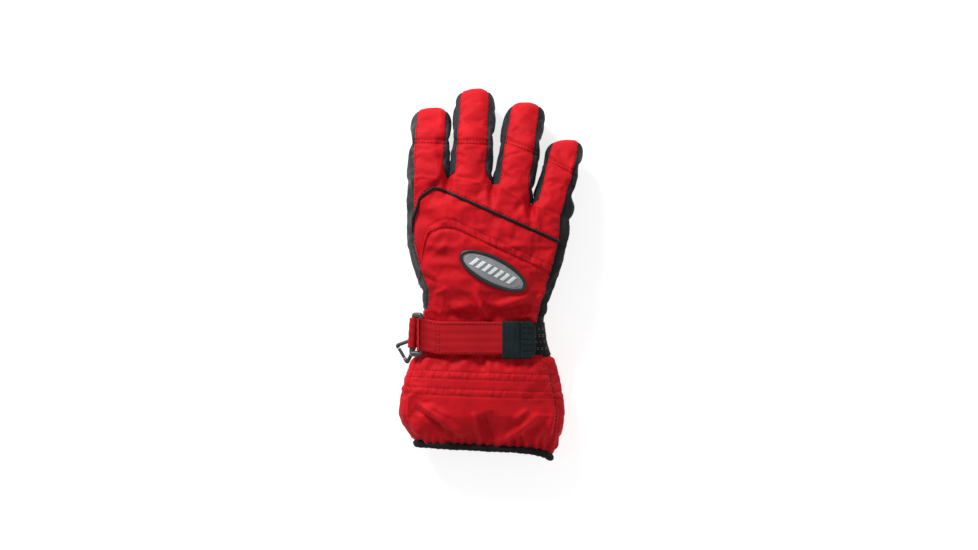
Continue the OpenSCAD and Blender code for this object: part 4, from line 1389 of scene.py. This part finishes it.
def tab_height(x, v, half_w):
    """Relief of the tab's upper face: a bead round it, shallow scales, a groove and a field of bars."""
    edge = min(x - TAB_X, TAB_END - x, half_w * (1 - abs(v)))
    y = v * half_w
    h = TAB_T - 0.9 * math.exp(-edge / 0.7)
    h += 0.28 * math.exp(-((edge - 1.6) / 0.55) ** 2)
    if edge > 2.6:
        if x < 22.6:
            h += 0.28 * abs(math.sin((x - 11) * 0.62 + 0.35 * math.cos(y * 0.3)))
        elif x > 25.4:
            h += -0.35 + 0.4 * (abs(math.sin(y * 0.72)) > 0.55)
    h -= 0.8 * math.exp(-((x - 24.1) / 0.5) ** 2)
    return h


def pull_tab():
    nx, ny = 96, 100
    verts, faces, uvs = [], [], []
    y0 = STRAP_Y - 1.6
    for i in range(nx + 1):
        x = lerp(TAB_X + 0.05, TAB_END, 0.5 - 0.5 * math.cos(math.pi * i / nx) if i > nx * 0.9 else i / nx)
        hw = max(tab_outline(x), TAB_W / 2 - 5.5)
        for j in range(ny + 1):
            v = 2 * j / ny - 1
            z = float(strap_z(x, 3.8 + tab_height(x, v, hw)))
            verts.append((x, y0 + v * hw, z))
            uvs.append((x, v * hw))
    n = ny + 1
    for i in range(nx):
        for j in range(ny):
            faces.append((i * n + j, (i + 1) * n + j, (i + 1) * n + j + 1, i * n + j + 1))
    rim = [i * n for i in range(nx + 1)] + [nx * n + j for j in range(1, n)]
    rim += [i * n + ny for i in range(nx - 1, -1, -1)] + [j for j in range(ny - 1, 0, -1)]
    base = len(verts)
    for k in rim:
        x, y, z = verts[k]
        verts.append((x, y, float(strap_z(x, 3.8))))
        uvs.append((x + 3, y + 3))
    m = len(rim)
    for k in range(m):
        faces.append((rim[k], base + k, base + (k + 1) % m, rim[(k + 1) % m])[::-1])
    faces.append(tuple(base + k for k in range(m)))
    return finish_piece(make_mesh("tab", verts, faces, uvs), "tab_rubber")


tab = pull_tab()
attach(tab, "strap_flap")
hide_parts("pull_tab")

# ---- badge and label -----------------------------------------------------------------------------------


def badge_surface():
    """A gently curved sheet through the cloth under the badge: coefficients of 1, x, y, xx, xy, yy."""
    rows, heights = [], []
    for x in np.linspace(-26, 32, 25):
        for y in np.linspace(-16, 22, 19):
            found = fine.hit((x, y, 120), (0, 0, -1))
            if found:
                rows.append((1, x, y, x * x, x * y, y * y))
                heights.append(found[0][2])
    return np.linalg.lstsq(np.array(rows), np.array(heights), rcond=None)[0]


BADGE_SHEET = badge_surface()


def badge_point(u, v, lift):
    """u and v run along the badge's axes."""
    c, s = math.cos(BADGE_TURN), math.sin(BADGE_TURN)
    x, y = BADGE_AT[0] + u * c - v * s, BADGE_AT[1] + u * s + v * c
    return np.array((x, y, float(BADGE_SHEET @ np.array((1, x, y, x * x, x * y, y * y))) + 0.7 + lift))


def polar_patch(name, rings, slot, steps=128):
    """rings: functions of the angle that give (u, v, lift), from the outside in."""
    verts = [badge_point(*ring(2 * math.pi * k / steps)) for ring in rings for k in range(steps)]
    uvs = [(p[0], p[1]) for p in verts]
    faces = []
    for low in range(0, (len(rings) - 1) * steps, steps):
        for k in range(steps):
            m = (k + 1) % steps
            faces.append((low + k, low + m, low + steps + m, low + steps + k))
    return finish_piece(make_mesh(name, verts, faces, uvs), slot)


def oval(inset, lift):
    return lambda a: ((BADGE_A - inset) * math.cos(a), (BADGE_B - inset) * math.sin(a), lift)


# How far in and how high the badge's rim runs, from its outer foot to its inner one
rim_section = [(0.1, -1.2), (0.0, 0.3), (0.15, 0.9), (0.5, 1.3), (1.0, 1.5), (1.9, 1.5), (2.5, 1.3),
               (2.9, 0.9), (3.1, 0.2)]
rim = polar_patch("badge_frame", [oval(i, h) for i, h in rim_section], "badge_rim")
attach(rim, "hand")
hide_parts("badge_rim")


def on_bar(u, v):
    across = u - 0.45 * v
    return abs(v) < 3.4 and abs(across) < 17 and (across + 17) % 5.2 < 2.8


def face_height(u, v):
    """Plain emblem of slanted raised bars between two fine lines."""
    a, b = BADGE_A - BADGE_RIM, BADGE_B - BADGE_RIM
    r = math.hypot(u / a, v / b)
    h = 0.5 + 0.7 * (1 - r * r)
    h += 0.18 * (0.86 < r < 0.9)
    return h + (0.42 if on_bar(u, v) else 0)


def face_ring(t):
    def ring(angle):
        u, v = (BADGE_A - 2.5) * t * math.cos(angle), (BADGE_B - 2.5) * t * math.sin(angle)
        return u, v, face_height(u, v)
    return ring


face = polar_patch("badge_plate", [face_ring(t) for t in np.linspace(1, 0.004, 56)], "badge_face", 300)
face.data.materials.append(MAT["badge_mark"])
for polygon in face.data.polygons:
    u, v = badge_axes(polygon.center.x / MM, polygon.center.y / MM)
    polygon.material_index = int(on_bar(u, v))
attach(face, "hand")
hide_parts("badge_face")


def label():
    """A woven label over the shoulder of the side panel."""
    nu, nv = 22, 40
    verts, uvs = [], []
    for j in range(nv + 1):
        y = lerp(-61.5, -36.5, j / nv)
        for i in range(nu + 1):
            zf = lerp(0.86, -0.2, i / nu)
            s = (1 - zf * zf) ** (1 / POWER)
            x, z = hand_xz(y, s, zf)
            place, normal, _, _ = fine.tree.find_nearest(Vector((x, y, z)))
            p = np.array(place) + np.array(normal) * 0.55
            verts.append(p)
            uvs.append((i * 0.7, y))
    w = nu + 1
    faces = [(j * w + i, j * w + i + 1, (j + 1) * w + i + 1, (j + 1) * w + i)[::-1]
             for j in range(nv) for i in range(nu)]
    obj = finish_piece(make_mesh("label", verts, faces, uvs), "label_black")
    solid = obj.modifiers.new("thickness", "SOLIDIFY")
    solid.thickness = 0.6 * MM
    solid.offset = 0
    return obj, verts, w


label_obj, label_verts, label_w = label()
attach(label_obj, "hand")
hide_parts("side_label")
seats = []
for j in range(3, 38, 2):
    if j % 8 in (3, 5):
        continue
    for i in range(5, 18, 3):
        p, q = label_verts[j * label_w + i], label_verts[j * label_w + i + 1]
        n = np.cross(label_verts[(j + 1) * label_w + i] - p, q - p)
        seats.append((p - n / np.linalg.norm(n) * 0.4, q - p, -n / np.linalg.norm(n)))
stitch_mesh("label_marks", seats, 1.5, 0.22, "thread_grey", "hand")

# ---- ring and clip -----------------------------------------------------------------------------------------

def rounded(corners, radius, closed, steps=8):
    """The line through corners, with each inner corner rounded."""
    corners = [np.array(c, dtype=float) for c in corners]
    n = len(corners)
    out = []
    for i, c in enumerate(corners):
        if not closed and i in (0, n - 1):
            out.append(c)
            continue
        a, b = corners[i - 1] - c, corners[(i + 1) % n] - c
        r = min(radius, 0.48 * np.linalg.norm(a), 0.48 * np.linalg.norm(b))
        a, b = c + a / np.linalg.norm(a) * r, c + b / np.linalg.norm(b) * r
        for k in range(steps + 1):
            t = k / steps
            out.append((1 - t) ** 2 * a + 2 * t * (1 - t) * c + t * t * b)
    return out


KEEPER = np.array((-58.7, 33.0))
RING_Y, RING_R = -45.7, 1.75
KEEPER_Y, KEEPER_W, KEEPER_T, KEEPER_DROP = -44.4, 23.0, 1.3, math.radians(-30)
ring_half = (STRAP_W + 1.0) / 2 + RING_R
SLANT = 0.07
ring_corners = [(KEEPER[0] - SLANT * ring_half, RING_Y - ring_half, KEEPER[1]),
                (FOLD[0], RING_Y - ring_half, FOLD[1]),
                (FOLD[0], RING_Y + ring_half, FOLD[1]),
                (KEEPER[0] + SLANT * ring_half, RING_Y + ring_half, KEEPER[1])]
ring_normal = np.cross(np.array((FOLD[0] - KEEPER[0], 0, FOLD[1] - KEEPER[1])), (0, 1, 0))
ring_line = []
for a, b in zip(ring_corners, ring_corners[1:] + ring_corners[:1]):
    ring_line += [np.array(a) + (np.array(b) - np.array(a)) * t for t in (0, 0.5)]
ring_path = rounded(ring_line, 2.4, True)


def ring_radius(i, angle):
    """The ring's two ends are stouter than its bars."""
    return RING_R + 0.5 * float(ease((abs(ring_path[i][1] - RING_Y) - ring_half + 1.2) / 1.0))


ring_piece = tube("ring", ring_path, ring_radius, 14, "hardware_grey", True, ring_normal)
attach(ring_piece, "hand")
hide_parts("strap_ring")

wrap_r = RING_R + 0.1 + KEEPER_T / 2
drop = np.array((math.cos(KEEPER_DROP), math.sin(KEEPER_DROP)))
keeper_path = [KEEPER + wrap_r * np.array((drop[1], -drop[0])) + t * drop for t in (7.4, 3.7, 0)]
keeper_path += [KEEPER + wrap_r * np.array((math.cos(a), math.sin(a)))
                for a in np.linspace(math.radians(225), math.radians(-15), 20)]
keeper = ribbon("keeper", keeper_path, KEEPER_T, "webbing_red", KEEPER_W, lambda x: KEEPER_Y)
for v in keeper.data.vertices:
    v.co.x += SLANT * (v.co.y - KEEPER_Y * MM)
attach(keeper, "hand")
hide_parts("ring_keeper")

CLIP_AXIS = np.array((-57.6, -52.0, 19.0))
CLIP_TILT = math.radians(14)
CLIP_A, CLIP_B, CLIP_R, LATCH_R = np.array((-14.2, -2.7)), np.array((-6.0, -16.0)), 1.5, 1.3

# Shares of the clip's outer side: the frame's two ends, and from where to where the latch runs
HOOK_HEEL, HOOK_NOSE, LATCH_SPAN = 0.14, 0.26, (0.18, 0.71)


def clip_point(p):
    return CLIP_AXIS + np.array((p[0] * math.cos(CLIP_TILT), p[1], p[0] * math.sin(CLIP_TILT)))


clip_normal = (-math.sin(CLIP_TILT), 0, math.cos(CLIP_TILT))
clip_corners = [CLIP_A + HOOK_HEEL * (CLIP_B - CLIP_A), CLIP_A, (0, 2.6), (0, -4.0), CLIP_B,
                CLIP_B + HOOK_NOSE * (CLIP_A - CLIP_B)]
clip_line = [clip_point(p) for p in rounded(clip_corners, 1.6, False)]
clip_piece = tube("clip_hook", clip_line, CLIP_R, 14, "hardware_grey", False, clip_normal)
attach(clip_piece, "clip")
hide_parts("clip_frame")
gate_line = [clip_point(CLIP_A + t * (CLIP_B - CLIP_A)) for t in np.linspace(*LATCH_SPAN, 12)]
gate_piece = tube("clip_latch", gate_line, LATCH_R, 14, "hardware_grey", False, clip_normal)
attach(gate_piece, "clip_gate")
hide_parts("clip_gate")

for node, slot in (("clip_loop", "elastic_black"), ("loop_pad", "loop_black"), ("hook_patch", "hook_black")):
    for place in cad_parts[node].material_slots:
        place.material = MAT[slot]

# ---- studio ----------------------------------------------------------------------------------------------

cam = bpy.data.cameras.new("camera")
cam.lens = 76
cam_obj = link(bpy.data.objects.new("camera", cam))
cam_obj.location = (0, 0, 1.62)
scene.camera = cam_obj
scene.view_settings.view_transform = "Standard"

FLOOR_HALF = 3000
floor_corners = [(x * FLOOR_HALF, y * FLOOR_HALF, 0) for x, y in ((-1, -1), (1, -1), (1, 1), (-1, 1))]
floor = make_mesh("floor", floor_corners, [(0, 1, 2, 3)])
paper = Shade("paper", 0.9)
paper.colour(paper.noise(6, 2.0), ((0.5, 0.5, 0.5), (0.52, 0.52, 0.52)))
paper.shader.inputs["Emission Color"].default_value = (1, 1, 1, 1)
paper.shader.inputs["Emission Strength"].default_value = 0.74
floor.data.materials.append(paper.bump(paper.noise(400, 2.0), 0.05, 0.2))

world = bpy.data.worlds.new("world")
scene.world = world
world.use_nodes = True
world.node_tree.nodes["Background"].inputs[0].default_value = (1, 1, 1, 1)
world.node_tree.nodes["Background"].inputs[1].default_value = 0.4


def softbox(name, place, size, energy):
    light = bpy.data.lights.new(name, "AREA")
    light.size = size
    light.energy = energy
    obj = link(bpy.data.objects.new(name, light))
    obj.location = place
    obj.rotation_euler = (Vector((0, 0, 0)) - Vector(place)).to_track_quat("-Z", "Y").to_euler()


softbox("key", (-0.6, 1.0, 0.66), 0.45, 22)
softbox("fill", (0.9, -0.5, 1.5), 1.2, 4)
